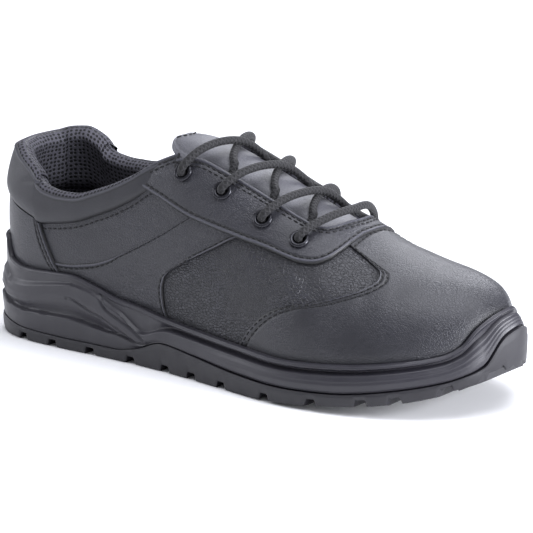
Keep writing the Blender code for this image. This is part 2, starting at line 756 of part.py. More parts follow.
def tread_cutters(material, collection):
    """Cutters of the tread: a channel inside the outer lugs, and a groove across at each gap."""
    channel_top = lambda x: sole_height("ground", x) + 0.8 * LUG_DEPTH
    under = lambda x: sole_height("ground", x) - LUG_DEPTH
    wide = TREAD_INSET + CHANNEL
    loops = np.array(
        [
            plan_loop(TREAD_INSET, under, TREAD_STEPS),
            plan_loop(TREAD_INSET, channel_top, TREAD_STEPS),
            plan_loop(wide, channel_top, TREAD_STEPS),
            plan_loop(wide, under, TREAD_STEPS),
        ]
    )
    loops = np.concatenate([loops, loops[:, :1]], axis=1)
    loops = np.concatenate([loops, loops[:1]], axis=0)
    channel = mesh_object("tread_channel", loops, grid_faces(*loops.shape[:2]), material, collection)
    cutters = [channel]
    for i, share in enumerate(LUG_GAPS):
        x = share * LENGTH
        slope = math.atan2(sole_height("ground", x + LUG_GAP) - sole_height("ground", x - LUG_GAP), 2 * LUG_GAP)
        bpy.ops.mesh.primitive_cube_add(size=1, location=(x, 0, sole_height("ground", x)))
        bar = bpy.context.object
        bar.name = f"tread_groove_{i + 1}"
        bar.scale = (LUG_GAP, 2 * BALL_WIDTH, 2 * LUG_DEPTH)
        bar.rotation_euler = (0, -slope, 0)
        move_to(bar, collection)
        cutters.append(bar)
    return cutters


def move_to(item, collection):
    """Puts an object that an operator made into a collection of its own."""
    for old in list(item.users_collection):
        old.objects.unlink(item)
    collection.objects.link(item)


def section_at(x):
    """Section of the last whose plane stands at x, in front of the heel axis."""
    k = np.linspace(2, len(LAST) - 1, 2000)
    return np.interp(x, section_rows(k)[0], k)


def spot(x, gap, lift):
    """Point over the last at x and its normal, at a signed gap from the crown line as on the outer side."""
    k = section_at(x) + np.array([-0.05, 0, 0.05])
    side = OUTER if gap < 0 else INNER
    reach = np.abs(gap) * (1 if gap < 0 else FAR_SHARE) + np.array([-1, 0, 1])[:, None] * MERGE * 20
    grid_k = np.broadcast_to(k, (3, 3))
    v = share_at_gap(side, grid_k, np.broadcast_to(np.maximum(reach, 0), (3, 3)))
    points = last_points(side, grid_k, v)
    centre = lifted(points, 0.0)[1, 1]
    raised = lifted(points, 1.0)[1, 1]
    normal = raised - centre
    return centre + lift * normal, normal


def eyelet_frames():
    """Name, centre on the eyestay's face, normal and signed gap of each eyelet."""
    frames = []
    for label, side in (("near", OUTER), ("far", INNER)):
        for i, (along, gap) in enumerate(EYELETS):
            place, normal = spot(along * LENGTH, side * gap * BALL_WIDTH, 2 * OVERLAY)
            frames.append((f"eyelet_{label}_{i + 1}", Vector(place), Vector(normal)))
    return frames


def add_eyelet(name, place, normal, material, collection):
    """Turned eyelet: a domed flange on the eyestay, and a barrel down through the leather."""
    bore, outer = EYELET_BORE / 2, EYELET_OUTER / 2
    barrel = bore + BARREL_WALL
    foot = -(2 * OVERLAY + WALL)
    top = EYELET_HEIGHT
    profile = [
        (bore, 0.8 * top),
        (bore + 0.35 * (outer - bore), top),
        (outer, 0.45 * top),
        (outer, GAP),
        (barrel, GAP),
        (barrel, foot),
        (bore, foot),
    ]
    mesh = bpy.data.meshes.new(name)
    points = [(r, 0, z) for r, z in profile]
    mesh.from_pydata(points, [(i, (i + 1) % len(points)) for i in range(len(points))], [])
    item = link_object(name, mesh, material, collection)
    turn = item.modifiers.new("Turn", "SCREW")
    turn.steps = turn.render_steps = ROUND_STEPS
    turn.use_merge_vertices = True
    turn.merge_threshold = MERGE
    item.location = place
    item.rotation_mode = "QUATERNION"
    item.rotation_quaternion = normal.to_track_quat("Z", "Y")
    return item


def add_hole(name, place, normal, collection):
    """Cutter for an eyelet's barrel, a little wider than it."""
    bpy.ops.mesh.primitive_cylinder_add(
        vertices=ROUND_STEPS, radius=EYELET_BORE / 2 + BARREL_WALL + HOLE_GAP, depth=6 * WALL, location=place
    )
    hole = bpy.context.object
    hole.name = name
    hole.rotation_mode = "QUATERNION"
    hole.rotation_quaternion = normal.to_track_quat("Z", "Y")
    move_to(hole, collection)
    return hole


def cord_mesh(name, route):
    """Mesh of a round lace along a smooth curve through its route's points."""
    route = np.array(route)
    at = np.linspace(0, len(route) - 1, CORD_STEPS * (len(route) - 1) + 1)
    points = np.stack([natural_curve(route[:, i], at) for i in range(3)], 1)
    curve = bpy.data.curves.new(name, "CURVE")
    curve.dimensions = "3D"
    curve.bevel_depth = LACE_DIAMETER / 2
    curve.bevel_resolution = CORD_ROUNDNESS
    curve.use_fill_caps = True
    line = curve.splines.new("POLY")
    line.points.add(len(points) - 1)
    line.points.foreach_set("co", np.column_stack([points, np.ones(len(points))]).ravel())
    guide = bpy.data.objects.new(name, curve)
    bpy.context.scene.collection.objects.link(guide)
    graph = bpy.context.evaluated_depsgraph_get()
    mesh = bpy.data.meshes.new_from_object(guide.evaluated_get(graph))
    bpy.data.objects.remove(guide)
    shape = bmesh.new()
    shape.from_mesh(mesh)
    bmesh.ops.remove_doubles(shape, verts=shape.verts, dist=MERGE)
    bmesh.ops.recalc_face_normals(shape, faces=shape.faces)
    shape.to_mesh(mesh)
    shape.free()
    return mesh


def lace_route(table, start, side, end):
    """Points of a lace run by its table, from one eyelet's row to the next."""
    first, second = EYELETS[start], EYELETS[end]
    route = []
    for way, gap, lift in table:
        x = LENGTH * (first[0] + (second[0] - first[0]) * way)
        reach = BALL_WIDTH * (first[1] + (second[1] - first[1]) * min(max(way, 0), 1))
        route.append(spot(x, -side * gap * reach, 2 * OVERLAY + lift * LACE_DIAMETER)[0])
    return route


def bar_route():
    """Points of the lowest run of the lace, straight across between the last two eyelets."""
    before, last = EYELETS[-2], EYELETS[-1]
    route = []
    for way, gap, lift in LACE_BAR:
        x = LENGTH * (last[0] + (last[0] - before[0]) * way)
        route.append(spot(x, gap * last[1] * BALL_WIDTH, 2 * OVERLAY + lift * LACE_DIAMETER)[0])
    return route


def finish(name, colour, roughness, metallic=0.0):
    """Principled material."""
    material = bpy.data.materials.new(name)
    material.use_nodes = True
    shader = material.node_tree.nodes["Principled BSDF"]
    shader.inputs["Base Color"].default_value = (*colour, 1)
    shader.inputs["Roughness"].default_value = roughness
    shader.inputs["Metallic"].default_value = metallic
    return material


def centre_on_floor(collections):
    """Hangs every object on one empty that brings the middle of the outline over the origin."""
    middle = (PLAN.min(axis=0) + PLAN.max(axis=0)) / 2
    stand = bpy.data.objects.new("stand", None)
    stand.location = (-middle[0], -middle[1], 0)
    bpy.context.scene.collection.objects.link(stand)
    for collection in collections:
        for item in collection.objects:
            item.parent = stand


def clear_scene():
    """Removes whatever the startup scene holds."""
    for item in list(bpy.data.objects):
        bpy.data.objects.remove(item)


def main():
    clear_scene()
    shoe = bpy.data.collections.new("safety_sneaker")
    helpers = bpy.data.collections.new("cutters")
    bpy.context.scene.collection.children.link(shoe)
    bpy.context.scene.collection.children.link(helpers)

    leather = finish("full_grain_leather", (0.052, 0.053, 0.066), 0.48)
    lining = finish("tongue_leather", (0.075, 0.075, 0.085), 0.50)
    rubber = finish("outsole_rubber", (0.040, 0.040, 0.048), 0.62)
    foam = finish("moulded_midsole", (0.055, 0.055, 0.065), 0.50)
    felt = finish("insole_fabric", (0.020, 0.020, 0.025), 0.90)
    enamel = finish("enamelled_steel", (0.030, 0.030, 0.034), 0.35, 0.6)
    braid = finish("braided_lace", (0.035, 0.036, 0.042), 0.85)

    outside = upper_points()
    sides = grid_faces(*outside.shape[:2])
    upper = mesh_object("upper", outside, sides, leather, shoe)
    skin = BVHTree.FromPolygons(
        [tuple(v.co) for v in upper.data.vertices], [tuple(f.vertices) for f in upper.data.polygons]
    )
    wall = upper.modifiers.new("Wall", "SOLIDIFY")
    wall.thickness = WALL
    wall.offset = -1
    wall.use_even_offset = True
    upper.modifiers.new("Triangles", "TRIANGULATE")

    for label, points, foot, lift in (
        ("quarter", quarter_points(), -0.40, 1.0),
        ("vamp", vamp_points(), -0.62, 1.0),
        ("counter", counter_points(), -0.55, 2.0),
        ("eyestay", eyestay_points(), -0.50, 2.0),
    ):
        overlay = sheet_solid(label + "_overlay", points, foot * WALL, lift * OVERLAY, leather, helpers)
        add_boolean(upper, overlay, "UNION", label)

    for name, place, normal in eyelet_frames():
        add_eyelet(name, place, normal, enamel, shoe)
        add_boolean(upper, add_hole("hole_" + name, place, normal, helpers), "DIFFERENCE", name)
    merge_flat(upper)

    outsole = ring_solid("outsole", outsole_loops(), rubber, shoe)
    for cutter in tread_cutters(rubber, helpers):
        add_boolean(outsole, cutter, "DIFFERENCE", cutter.name)
    merge_flat(outsole)
    ring_solid("midsole", midsole_loops(skin), foam, shoe)

    edge = FEATHER_INSET + WALL + INSOLE_GAP
    bed = lambda x: sole_height("bed", x) + GAP
    ring_solid(
        "insole",
        [
            plan_loop(edge, bed, INSOLE_STEPS),
            plan_loop(edge, lambda x: bed(x) + INSOLE_THICKNESS, INSOLE_STEPS),
        ],
        felt,
        shoe,
    )

    k = np.linspace(TONGUE[0][0], TONGUE[-1][0], TONGUE_STEPS + 1)
    half = BALL_WIDTH * table_curve(TONGUE, k)
    across = np.linspace(-1, 1, 2 * TONGUE_ROWS + 1)[:, None]
    side = np.where(across < 0, OUTER, INNER) + 0 * k
    points = last_points(side, k + 0 * side, share_at_gap(side, k + 0 * side, np.abs(across) * half))
    top = -(WALL + TONGUE_GAP + TONGUE_THICKNESS * table_curve(TONGUE, k, 2))
    sheet_solid("tongue", points, top - TONGUE_THICKNESS, top, lining, shoe)

    for i in range(len(EYELETS) - 1):
        over = cord_mesh(f"lace_over_{i + 1}", lace_route(LACE_OVER, i, OUTER * -1, i + 1))
        under = cord_mesh(f"lace_under_{i + 1}", lace_route(LACE_UNDER, i, INNER * -1, i + 1))
        cross = link_object(f"lace_cross_{i + 1}", over, braid, shoe)
        add_boolean(cross, link_object(f"lace_under_{i + 1}", under, braid, helpers), "UNION", "Joined")
    link_object("lace_bar", cord_mesh("lace_bar", bar_route()), braid, shoe)
    centre_on_floor((shoe, helpers))


if __name__ == "__main__":
    main()
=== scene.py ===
"""Looks of a black leather safety sneaker for the right foot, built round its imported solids.

Every piece lies on one last: a surface given by a side of the foot, a section k, counted from 0 at the back
of the heel to 15 at the tip, and a share v of the way from the feather line up to the crown line. Panels,
seams, creases, stitches, eyelets and lace take their places from it. Lengths are in metres.
"""

import logging
import math
from dataclasses import dataclass, field
from enum import Enum
from functools import partial
from typing import Callable, Optional, Sequence, Union

import bmesh
import bpy
import numpy as np
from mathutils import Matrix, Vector


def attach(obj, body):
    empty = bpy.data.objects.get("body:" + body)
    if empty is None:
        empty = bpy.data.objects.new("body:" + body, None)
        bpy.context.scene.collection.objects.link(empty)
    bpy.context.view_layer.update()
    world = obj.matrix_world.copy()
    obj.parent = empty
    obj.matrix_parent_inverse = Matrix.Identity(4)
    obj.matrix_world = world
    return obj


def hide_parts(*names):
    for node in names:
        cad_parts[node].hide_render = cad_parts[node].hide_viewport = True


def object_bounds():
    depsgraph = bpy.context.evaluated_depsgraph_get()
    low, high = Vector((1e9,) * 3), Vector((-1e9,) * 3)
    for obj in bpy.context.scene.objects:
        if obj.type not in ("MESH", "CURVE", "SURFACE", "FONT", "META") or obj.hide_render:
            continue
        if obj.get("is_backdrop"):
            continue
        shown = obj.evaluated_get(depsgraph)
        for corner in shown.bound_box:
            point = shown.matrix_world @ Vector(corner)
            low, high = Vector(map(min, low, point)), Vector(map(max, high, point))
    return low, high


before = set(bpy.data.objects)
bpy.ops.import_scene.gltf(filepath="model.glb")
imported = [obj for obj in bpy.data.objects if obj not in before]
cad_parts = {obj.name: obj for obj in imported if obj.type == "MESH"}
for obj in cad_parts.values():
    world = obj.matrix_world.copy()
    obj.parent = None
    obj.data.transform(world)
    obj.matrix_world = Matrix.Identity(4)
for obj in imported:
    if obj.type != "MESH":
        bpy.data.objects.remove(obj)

LOW, HIGH = (np.array(corner, float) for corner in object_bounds())
LOG = logging.getLogger("shoe")
MM = 0.001
OUTER, INNER = -1.0, 1.0
Array = np.ndarray
Height = Union[float, Array, Callable[[Array], Array]]

# Driving sizes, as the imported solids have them
LENGTH = float(HIGH[0] - LOW[0])
BALL_WIDTH = 0.109
HEEL_WIDTH = 0.077
SOLE_HEIGHT = 0.038
TOE_SPRING = 0.0235
LUG_DEPTH = 0.0032
LUG_GAP = 0.0055
TREAD_INSET = 0.021
LIP_WALL = 0.0026
LIP_STEP = 0.0009
MOST_LIP = 0.0085
BED_DEPTH = 0.0030
CHANNEL = 0.0040
INSTEP_HEIGHT = 0.112
COLLAR_HEIGHT = 0.096
FEATHER_INSET = 0.0066
HEEL_AXIS = 0.037
WALL = 0.0022
COLLAR_PAD = 0.0030
OVERLAY = 0.0009
FAR_SHARE = 0.84
WAIST_BOW = 0.7
INSOLE_THICKNESS = 0.0040
TONGUE_THICKNESS = 0.0036
EYELET_OUTER = 0.0096
EYELET_BORE = 0.0052
EYELET_HEIGHT = 0.0016
LACE_DIAMETER = 0.0039
GAP = 0.0003
LIP_GAP = 0.0009
INSOLE_GAP = 0.0010
TONGUE_GAP = 0.0012
TIP_SHIFT = 0.045

# Widest line of the sole in plan: along is a share of LENGTH, outer and inner of the width there.
OUTLINE = [
    # along, outer, inner
    (0.010, 0.215, 0.215),
    (0.033, 0.345, 0.345),
    (0.084, 0.448, 0.445),
    (0.169, 0.490, 0.475),
    (0.270, 0.500, 0.430),
    (0.371, 0.472, 0.345),
    (0.472, 0.450, 0.290),
    (0.574, 0.466, 0.310),
    (0.658, 0.503, 0.385),
    (0.725, 0.506, 0.450),
    (0.792, 0.480, 0.470),
    (0.860, 0.420, 0.440),
    (0.932, 0.290, 0.345),
    (0.973, 0.160, 0.205),
]

# Sections of the last: along is a share of the way from the heel axis to the feather's tip, turn is in
# degrees, side and lean are shares of BALL_WIDTH, crown of INSTEP_HEIGHT, rise and reach of the profile.
LAST = [
    # along, turn, side, crown, lean, rise, reach, even
    (0.000, 90, 0.000, 1.010, 0.022, 0.47, 1.10, 0.00),
    (0.000, 45, 0.000, 1.010, 0.022, 0.47, 1.05, 0.00),
    (0.000, 0, 0.000, 1.010, 0.030, 0.47, 0.98, 0.30),
    (0.091, 0, 0.000, 1.005, 0.030, 0.46, 0.95, 0.80),
    (0.208, 0, 0.000, 1.000, 0.012, 0.47, 0.98, 1.00),
    (0.331, 0, 0.000, 0.985, -0.012, 0.49, 1.06, 0.95),
    (0.446, 0, 0.012, 0.900, -0.020, 0.52, 0.88, 0.85),
    (0.564, 0, 0.040, 0.782, -0.015, 0.56, 0.66, 0.65),
    (0.693, 0, 0.075, 0.652, 0.000, 0.56, 0.55, 0.25),
    (0.760, 0, 0.090, 0.590, 0.008, 0.58, 0.56, 0.10),
    (0.825, 0, 0.100, 0.554, 0.014, 0.60, 0.58, 0.00),
    (0.884, 0, 0.105, 0.528, 0.016, 0.62, 0.60, 0.00),
    (0.938, 0, 0.095, 0.490, 0.014, 0.62, 0.60, 0.00),
    (0.972, 0, 0.078, 0.442, 0.010, 0.60, 0.58, 0.00),
    (0.991, 0, 0.060, 0.378, 0.004, 0.58, 0.56, 0.00),
    (1.000, 0, TIP_SHIFT, 0.290, 0.000, 0.56, 0.55, 0.00),
]
TIP = len(LAST) - 1
STRAIGHT = 2  # first section that stands straight across; those behind it turn about the heel axis

# Heights of the sole along LENGTH: ground is a share of TOE_SPRING, the others of SOLE_HEIGHT.
SOLE = [
    # along, ground, line, bed, rim
    (0.000, 0.10, 0.24, 0.68, 1.32),
    (0.030, 0.03, 0.23, 0.68, 1.30),
    (0.053, 0.00, 0.21, 0.68, 1.03),
    (0.106, 0.00, 0.16, 0.67, 0.96),
    (0.202, 0.00, 0.145, 0.66, 0.99),
    (0.248, 0.00, 0.145, 0.63, 0.92),
    (0.304, 0.00, 0.145, 0.58, 0.80),
    (0.354, 0.00, 0.21, 0.52, 0.745),
    (0.415, 0.00, 0.36, 0.46, 0.67),
    (0.486, 0.00, 0.31, 0.41, 0.62),
    (0.587, 0.00, 0.24, 0.36, 0.578),
    (0.668, 0.03, 0.22, 0.345, 0.55),
    (0.769, 0.14, 0.245, 0.38, 0.59),
    (0.870, 0.30, 0.35, 0.49, 0.68),
    (0.931, 0.49, 0.45, 0.60, 0.765),
    (0.956, 0.63, 0.52, 0.65, 0.87),
    (0.976, 0.74, 0.62, 0.70, 1.10),
    (0.992, 0.86, 0.96, 0.74, 1.23),
    (1.000, 1.00, 1.05, 0.77, 1.27),
]

# Relief of the midsole's side: height and inset of each line, in shares of its height and FEATHER_INSET.
RELIEF = [
    # along, then band, recess, ridge, strap, wall, groove and lip
    (0.00, 0.25, 0.00, 0.30, 0.35, 0.36, 0.00, 0.42, 0.05, 0.52, 0.18, 0.60, 0.40, 0.93, 0.40),
    (0.081, 0.28, 0.02, 0.33, 0.38, 0.47, 0.04, 0.53, 0.06, 0.66, 0.16, 0.78, 0.45, 0.93, 0.42),
    (0.202, 0.31, 0.10, 0.36, 0.50, 0.62, 0.15, 0.67, 0.10, 0.84, 0.15, 0.88, 0.45, 0.93, 0.45),
    (0.253, 0.29, 0.10, 0.34, 0.50, 0.60, 0.10, 0.64, 0.05, 0.88, 0.10, 0.91, 0.35, 0.94, 0.45),
    (0.314, 0.28, 0.10, 0.31, 0.35, 0.45, 0.10, 0.48, 0.00, 0.76, 0.05, 0.80, 0.40, 0.92, 0.45),
    (0.374, 0.04, 0.15, 0.07, 0.20, 0.12, 0.10, 0.16, 0.00, 0.34, 0.05, 0.42, 0.45, 0.88, 0.45),
    (0.435, 0.03, 0.20, 0.06, 0.20, 0.10, 0.20, 0.20, 0.20, 0.55, 0.25, 0.72, 0.80, 0.88, 0.45),
    (0.607, 0.05, 0.20, 0.15, 0.12, 0.30, 0.10, 0.45, 0.15, 0.62, 0.28, 0.76, 0.80, 0.88, 0.45),
    (0.860, 0.05, 0.20, 0.15, 0.12, 0.30, 0.10, 0.45, 0.15, 0.62, 0.28, 0.76, 0.80, 0.88, 0.45),
    (0.961, 0.05, 0.22, 0.15, 0.20, 0.30, 0.25, 0.45, 0.35, 0.62, 0.50, 0.76, 0.95, 0.88, 0.75),
    (1.00, 0.08, 0.30, 0.20, 0.35, 0.35, 0.45, 0.50, 0.55, 0.66, 0.70, 0.80, 1.05, 0.92, 1.00),
]

# Lines moulded into the midsole's side, as places (x, z) in millimetres from the back of the heel.
MOULDED_LINES = [
    [(81, 31), (86, 24.8), (95, 21), (104, 16.9), (115, 11.2), (127, 6.3)],
    [(60, 26.2), (65, 26.1), (75, 21.9), (82, 19.8), (92, 15.3), (98, 13.2)],
]

# Gaps between lugs, as shares of LENGTH.
LUG_GAPS = (0.101, 0.170, 0.253, 0.342, 0.420, 0.481, 0.551, 0.648, 0.739, 0.822, 0.872, 0.936, 0.983)

# Top line: outer and inner heights as shares of COLLAR_HEIGHT, then half the throat as one of BALL_WIDTH.
COLLAR = [
    # section, outer height, inner height
    (0.00, 1.005, 1.005),
    (0.70, 1.000, 1.013),
    (1.00, 0.992, 1.028),
    (1.35, 0.955, 1.032),
    (1.65, 0.915, 1.000),
    (2.00, 0.870, 0.942),
    (2.40, 0.825, 0.895),
    (2.75, 0.811, 0.880),
    (3.05, 0.813, 0.880),
    (3.60, 0.862, 0.910),
    (4.15, 0.940, 0.965),
    (4.60, 1.028, 1.035),
    (4.95, 1.075, 1.080),
]
THROAT = [
    # section, half width
    (4.95, 0.205),
    (5.50, 0.176),
    (6.20, 0.178),
    (6.90, 0.186),
    (7.35, 0.190),
    (7.52, 0.172),
    (7.62, 0.120),
    (7.67, 0.060),
    (7.69, 0.000),
]
CORNER = THROAT[0][0]
THROAT_END = THROAT[-1][0]
COLLAR_SEAM = [
    # section, share of the top line's share, pad
    (0.0, 0.62, 1.0),
    (1.4, 0.56, 1.0),
    (2.2, 0.60, 1.0),
    (2.7, 0.67, 1.0),
    (3.5, 0.74, 1.0),
    (4.3, 0.78, 0.7),
    (4.9, 0.80, 0.0),
    (7.6, 0.70, 0.0),
    (15.0, 0.60, 0.0),
]
EYESTAY_EDGE = [
    # section, share
    (4.24, 0.548),
    (4.72, 0.508),
    (5.55, 0.47),
    (6.45, 0.48),
    (7.00, 0.50),
    (7.40, 0.514),
    (7.66, 0.545),
    (7.84, 0.605),
    (7.98, 0.73),
    (8.08, 1.00),
]
BAND_SEAM = [
    # section, height in millimetres
    (0.0, 42.0),
    (2.78, 42.4),
    (3.44, 45.0),
    (4.28, 55.3),
    (4.90, 66.3),
    (5.47, 77.7),
    (6.50, 92.0),
]
QUARTER_SEAM = [
    # share, section
    (0.03, 5.09),
    (0.10, 4.97),
    (0.15, 4.94),
    (0.20, 4.99),
    (0.245, 5.18),
    (0.30, 5.52),
    (0.37, 5.92),
    (0.50, 6.50),
]
TOE_SEAM = [
    # share, section
    (0.05, 6.68),
    (0.14, 6.91),
    (0.27, 7.36),
    (0.41, 8.19),
    (0.54, 9.02),
    (0.63, 9.25),
    (0.70, 9.12),
    (0.74, 8.60),
    (0.77, 7.90),
    (1.00, 7.90),
]
COUNTER_EDGE = [
    # share, section
    (0.05, 2.86),
    (0.19, 2.53),
    (0.35, 2.16),
]
EYELETS = [
    # along, gap from the crown line
    (0.424, 0.238),
    (0.500, 0.243),
    (0.580, 0.268),
    (0.648, 0.280),
]
TONGUE = [
    # section, half width
    (4.50, 0.060),
    (4.53, 0.110),
    (4.62, 0.155),
    (4.85, 0.190),
    (5.60, 0.220),
    (6.90, 0.232),
    (7.60, 0.235),
    (7.80, 0.225),
]

# Lace runs: way is a share of the distance between two rows of eyelets, gap one of the eyelets' gap,
# lift is over the eyestay in lace diameters. The last two points of a crossing lie under the far eyestay.
LACE_OVER = [
    # way, gap, lift
    (0.00, -1.00, -0.50),
    (0.00, -1.00, 0.60),
    (0.12, -0.86, 0.98),
    (0.30, -0.52, 0.64),
    (0.50, 0.00, 0.25),
    (0.70, 0.34, -0.25),
    (0.82, 0.46, -0.55),
    (0.86, 0.50, -0.70),
    (0.94, 0.74, -1.40),
    (1.00, 1.00, -1.45),
]
LACE_UNDER = [
    # way, gap, lift
    (0.00, -1.00, -0.50),
    (0.00, -1.00, 0.60),
    (0.12, -0.86, 0.92),
    (0.30, -0.50, 0.15),
    (0.50, 0.00, -0.60),
    (0.70, 0.34, -0.62),
    (0.82, 0.46, -0.66),
    (0.86, 0.50, -0.70),
    (0.94, 0.74, -1.40),
    (1.00, 1.00, -1.45),
]
LACE_BAR = [
    # way past the last row, gap, lift
    (0.00, -1.00, -0.50),
    (0.00, -1.00, 0.60),
    (0.12, -0.84, 1.00),
    (0.34, -0.40, 0.90),
    (0.40, 0.00, 0.70),
    (0.34, 0.40, 0.90),
    (0.12, 0.84, 1.00),
    (0.00, 1.00, 0.60),
    (0.00, 1.00, -0.50),
]

# Main creases, on both sides: from one place (x, z) to another, width and depth, in millimetres. A
# negative depth is a soft ridge.
CREASES = [
    (27, 79, 38, 80.5, 1.6, 0.55),
    (24, 74, 33, 75.5, 1.8, 0.30),
    (120, 60, 150, 71, 3.0, 0.35),
    (127, 55, 156, 65, 3.0, -0.30),
    (146, 66, 178, 55, 4.0, 0.30),
    (176, 62, 196, 46, 4.5, 0.40),
    (188, 60, 206, 42, 4.5, -0.40),
    (199, 60, 214, 45, 4.0, 0.35),
    (226, 64, 236, 40, 5.0, 0.35),
    (236, 60, 247, 38, 5.0, -0.30),
    (62, 58, 96, 68, 4.5, 0.35),
    (70, 36, 100, 44, 6.0, -0.40),
    (140, 32, 168, 40, 6.0, 0.40),
    (150, 78, 160, 90, 2.2, 0.25),
    (163, 76, 172, 86, 2.2, -0.25),
]


def share_curve(knots: Array, values: Array, at: Array) -> Array:
    """Cubic through the values whose slopes never overshoot: level at each turning point.

    Args:
        knots: Rising places of the values.
        values: Value at each knot.
        at: Places to read.

    Returns:
        The curve's value at each place.
    """
    knots = np.asarray(knots, float)
    values = np.asarray(values, float)
    step = np.diff(knots)
    rise = np.diff(values) / step
    slope = np.zeros(len(knots))
    slope[0], slope[-1] = rise[0], rise[-1]
    same = rise[:-1] * rise[1:] > 0
    mean = 2 * rise[:-1] * rise[1:] / np.where(same, rise[:-1] + rise[1:], 1)
    slope[1:-1] = np.where(same, mean, 0)
    at = np.clip(at, knots[0], knots[-1])
    i = np.clip(np.searchsorted(knots, at, side="right") - 1, 0, len(step) - 1)
    h = step[i]
    t = (at - knots[i]) / h
    near = (2 * t**3 - 3 * t**2 + 1) * values[i] + (t**3 - 2 * t**2 + t) * h * slope[i]
    return near + (3 * t**2 - 2 * t**3) * values[i + 1] + (t**3 - t**2) * h * slope[i + 1]


def natural_curve(values: Array, at: Array) -> Array:
    """Cubic spline through values a step apart, with no bending at its ends.

    Args:
        values: The values.
        at: Places to read, in steps.

    Returns:
        The curve's value at each place.
    """
    values = np.asarray(values, float)
    n = len(values)
    matrix = 4 * np.eye(n) + np.eye(n, k=1) + np.eye(n, k=-1)
    matrix[0, 0] = matrix[-1, -1] = 2
    right = np.zeros(n)
    right[1:-1] = 3 * (values[2:] - values[:-2])
    right[0], right[-1] = 3 * (values[1] - values[0]), 3 * (values[-1] - values[-2])
    slope = np.linalg.solve(matrix, right)
    at = np.clip(at, 0, n - 1)
    i = np.minimum(at.astype(int), n - 2)
    t = at - i
    near = (2 * t**3 - 3 * t**2 + 1) * values[i] + (t**3 - 2 * t**2 + t) * slope[i]
    return near + (3 * t**2 - 2 * t**3) * values[i + 1] + (t**3 - t**2) * slope[i + 1]


def table_curve(table: Sequence[tuple], at: Array, column: int = 1) -> Array:
    """A table's column as a curve over its first column.

    Args:
        table: Rows of numbers, the first of them rising.
        at: Places to read.
        column: The column.

    Returns:
        The column's value at each place.
    """
    rows = np.array(table, float)
    return share_curve(rows[:, 0], rows[:, column], at)


def smooth(t: Array) -> Array:
    """Soft step from 0 to 1: t * t * (3 - 2t), held outside 0 to 1.

    Args:
        t: Way through the step.

    Returns:
        The step's height.
    """
    t = np.clip(t, 0, 1)
    return t * t * (3 - 2 * t)


def ray_reach(start: Array, ahead: Array, ring: Array) -> Array:
    """Distance from each start, in its direction, to the nearest piece of a closed line in plan.

    Args:
        start: Points in plan.
        ahead: Unit directions.
        ring: Points of the line.

    Returns:
        The distances, infinite where a ray meets nothing.
    """
    edge = np.roll(ring, -1, 0) - ring
    away = ring - start[:, None, :]
    ahead = ahead[:, None, :]
    cross = ahead[..., 0] * edge[:, 1] - ahead[..., 1] * edge[:, 0]
    cross = np.where(np.abs(cross) < 1e-12, 1e-12, cross)
    run = (away[..., 0] * edge[:, 1] - away[..., 1] * edge[:, 0]) / cross
    place = (away[..., 0] * ahead[..., 1] - away[..., 1] * ahead[..., 0]) / cross
    hit = (place >= -1e-9) & (place <= 1 + 1e-9) & (run > 0)
    return np.where(hit, run, np.inf).min(axis=1)


def outline_points(steps: int) -> tuple[Array, Array, Array]:
    """Closed outline of the sole in plan: back, outer side, tip, inner side.

    Args:
        steps: Steps along each side.

    Returns:
        The points, their outward normals and how far each lies from the back along its side.
    """
    along, outer, inner = np.array(OUTLINE).T
    width = HEEL_WIDTH + (BALL_WIDTH - HEEL_WIDTH) * smooth((along - 0.25) / 0.35)
    tip = np.array([[LENGTH, TIP_SHIFT * BALL_WIDTH]])
    near = np.stack([along * LENGTH, -outer * width], 1)
    far = np.stack([along * LENGTH, inner * width], 1)[::-1]
    ring = np.vstack([[[0.0, 0.0]], near, tip, far])
    before, after, further = np.roll(ring, 1, 0), np.roll(ring, -1, 0), np.roll(ring, -2, 0)
    t = np.linspace(0, 1, 24, endpoint=False)[:, None, None]
    curve = 0.5 * (
        2 * ring
        + (after - before) * t
        + (2 * before - 5 * ring + 4 * after - further) * t**2
        + (3 * ring - before - 3 * after + further) * t**3
    )
    curve = curve.transpose(1, 0, 2).reshape(-1, 2)
    turn = (len(near) + 1) * 24
    points, runs = [], []
    for index, side in enumerate((curve[: turn + 1], np.vstack([curve[turn:], curve[:1]]))):
        run = np.concatenate([[0], np.cumsum(np.linalg.norm(np.diff(side, axis=0), axis=1))])
        even = np.linspace(0, run[-1], steps + 1)[:-1]
        points.append(np.stack([np.interp(even, run, side[:, i]) for i in (0, 1)], 1))
        runs.append(even if index == 0 else run[-1] - even)
    points = np.vstack(points)
    tangent = np.roll(points, -1, 0) - np.roll(points, 1, 0)
    tangent /= np.linalg.norm(tangent, axis=1)[:, None]
    return points, np.stack([tangent[:, 1], -tangent[:, 0]], 1), np.concatenate(runs)


PLAN, PLAN_OUT, _ = outline_points(240)
FEATHER = PLAN - FEATHER_INSET * PLAN_OUT
FEATHER_TIP = FEATHER[:, 0].max()
SHIFT = np.array([*(-(PLAN.min(axis=0) + PLAN.max(axis=0)) / 2), 0.0])


def sole_height(name: str, x: Array) -> Array:
    """Height of a named line of the sole.

    Args:
        name: ground, line, bed or rim.
        x: Distance from the back of the heel.

    Returns:
        The heights.
    """
    column = ("ground", "line", "bed", "rim").index(name) + 1
    size = TOE_SPRING if name == "ground" else SOLE_HEIGHT
    return size * table_curve(SOLE, np.asarray(x) / LENGTH, column)


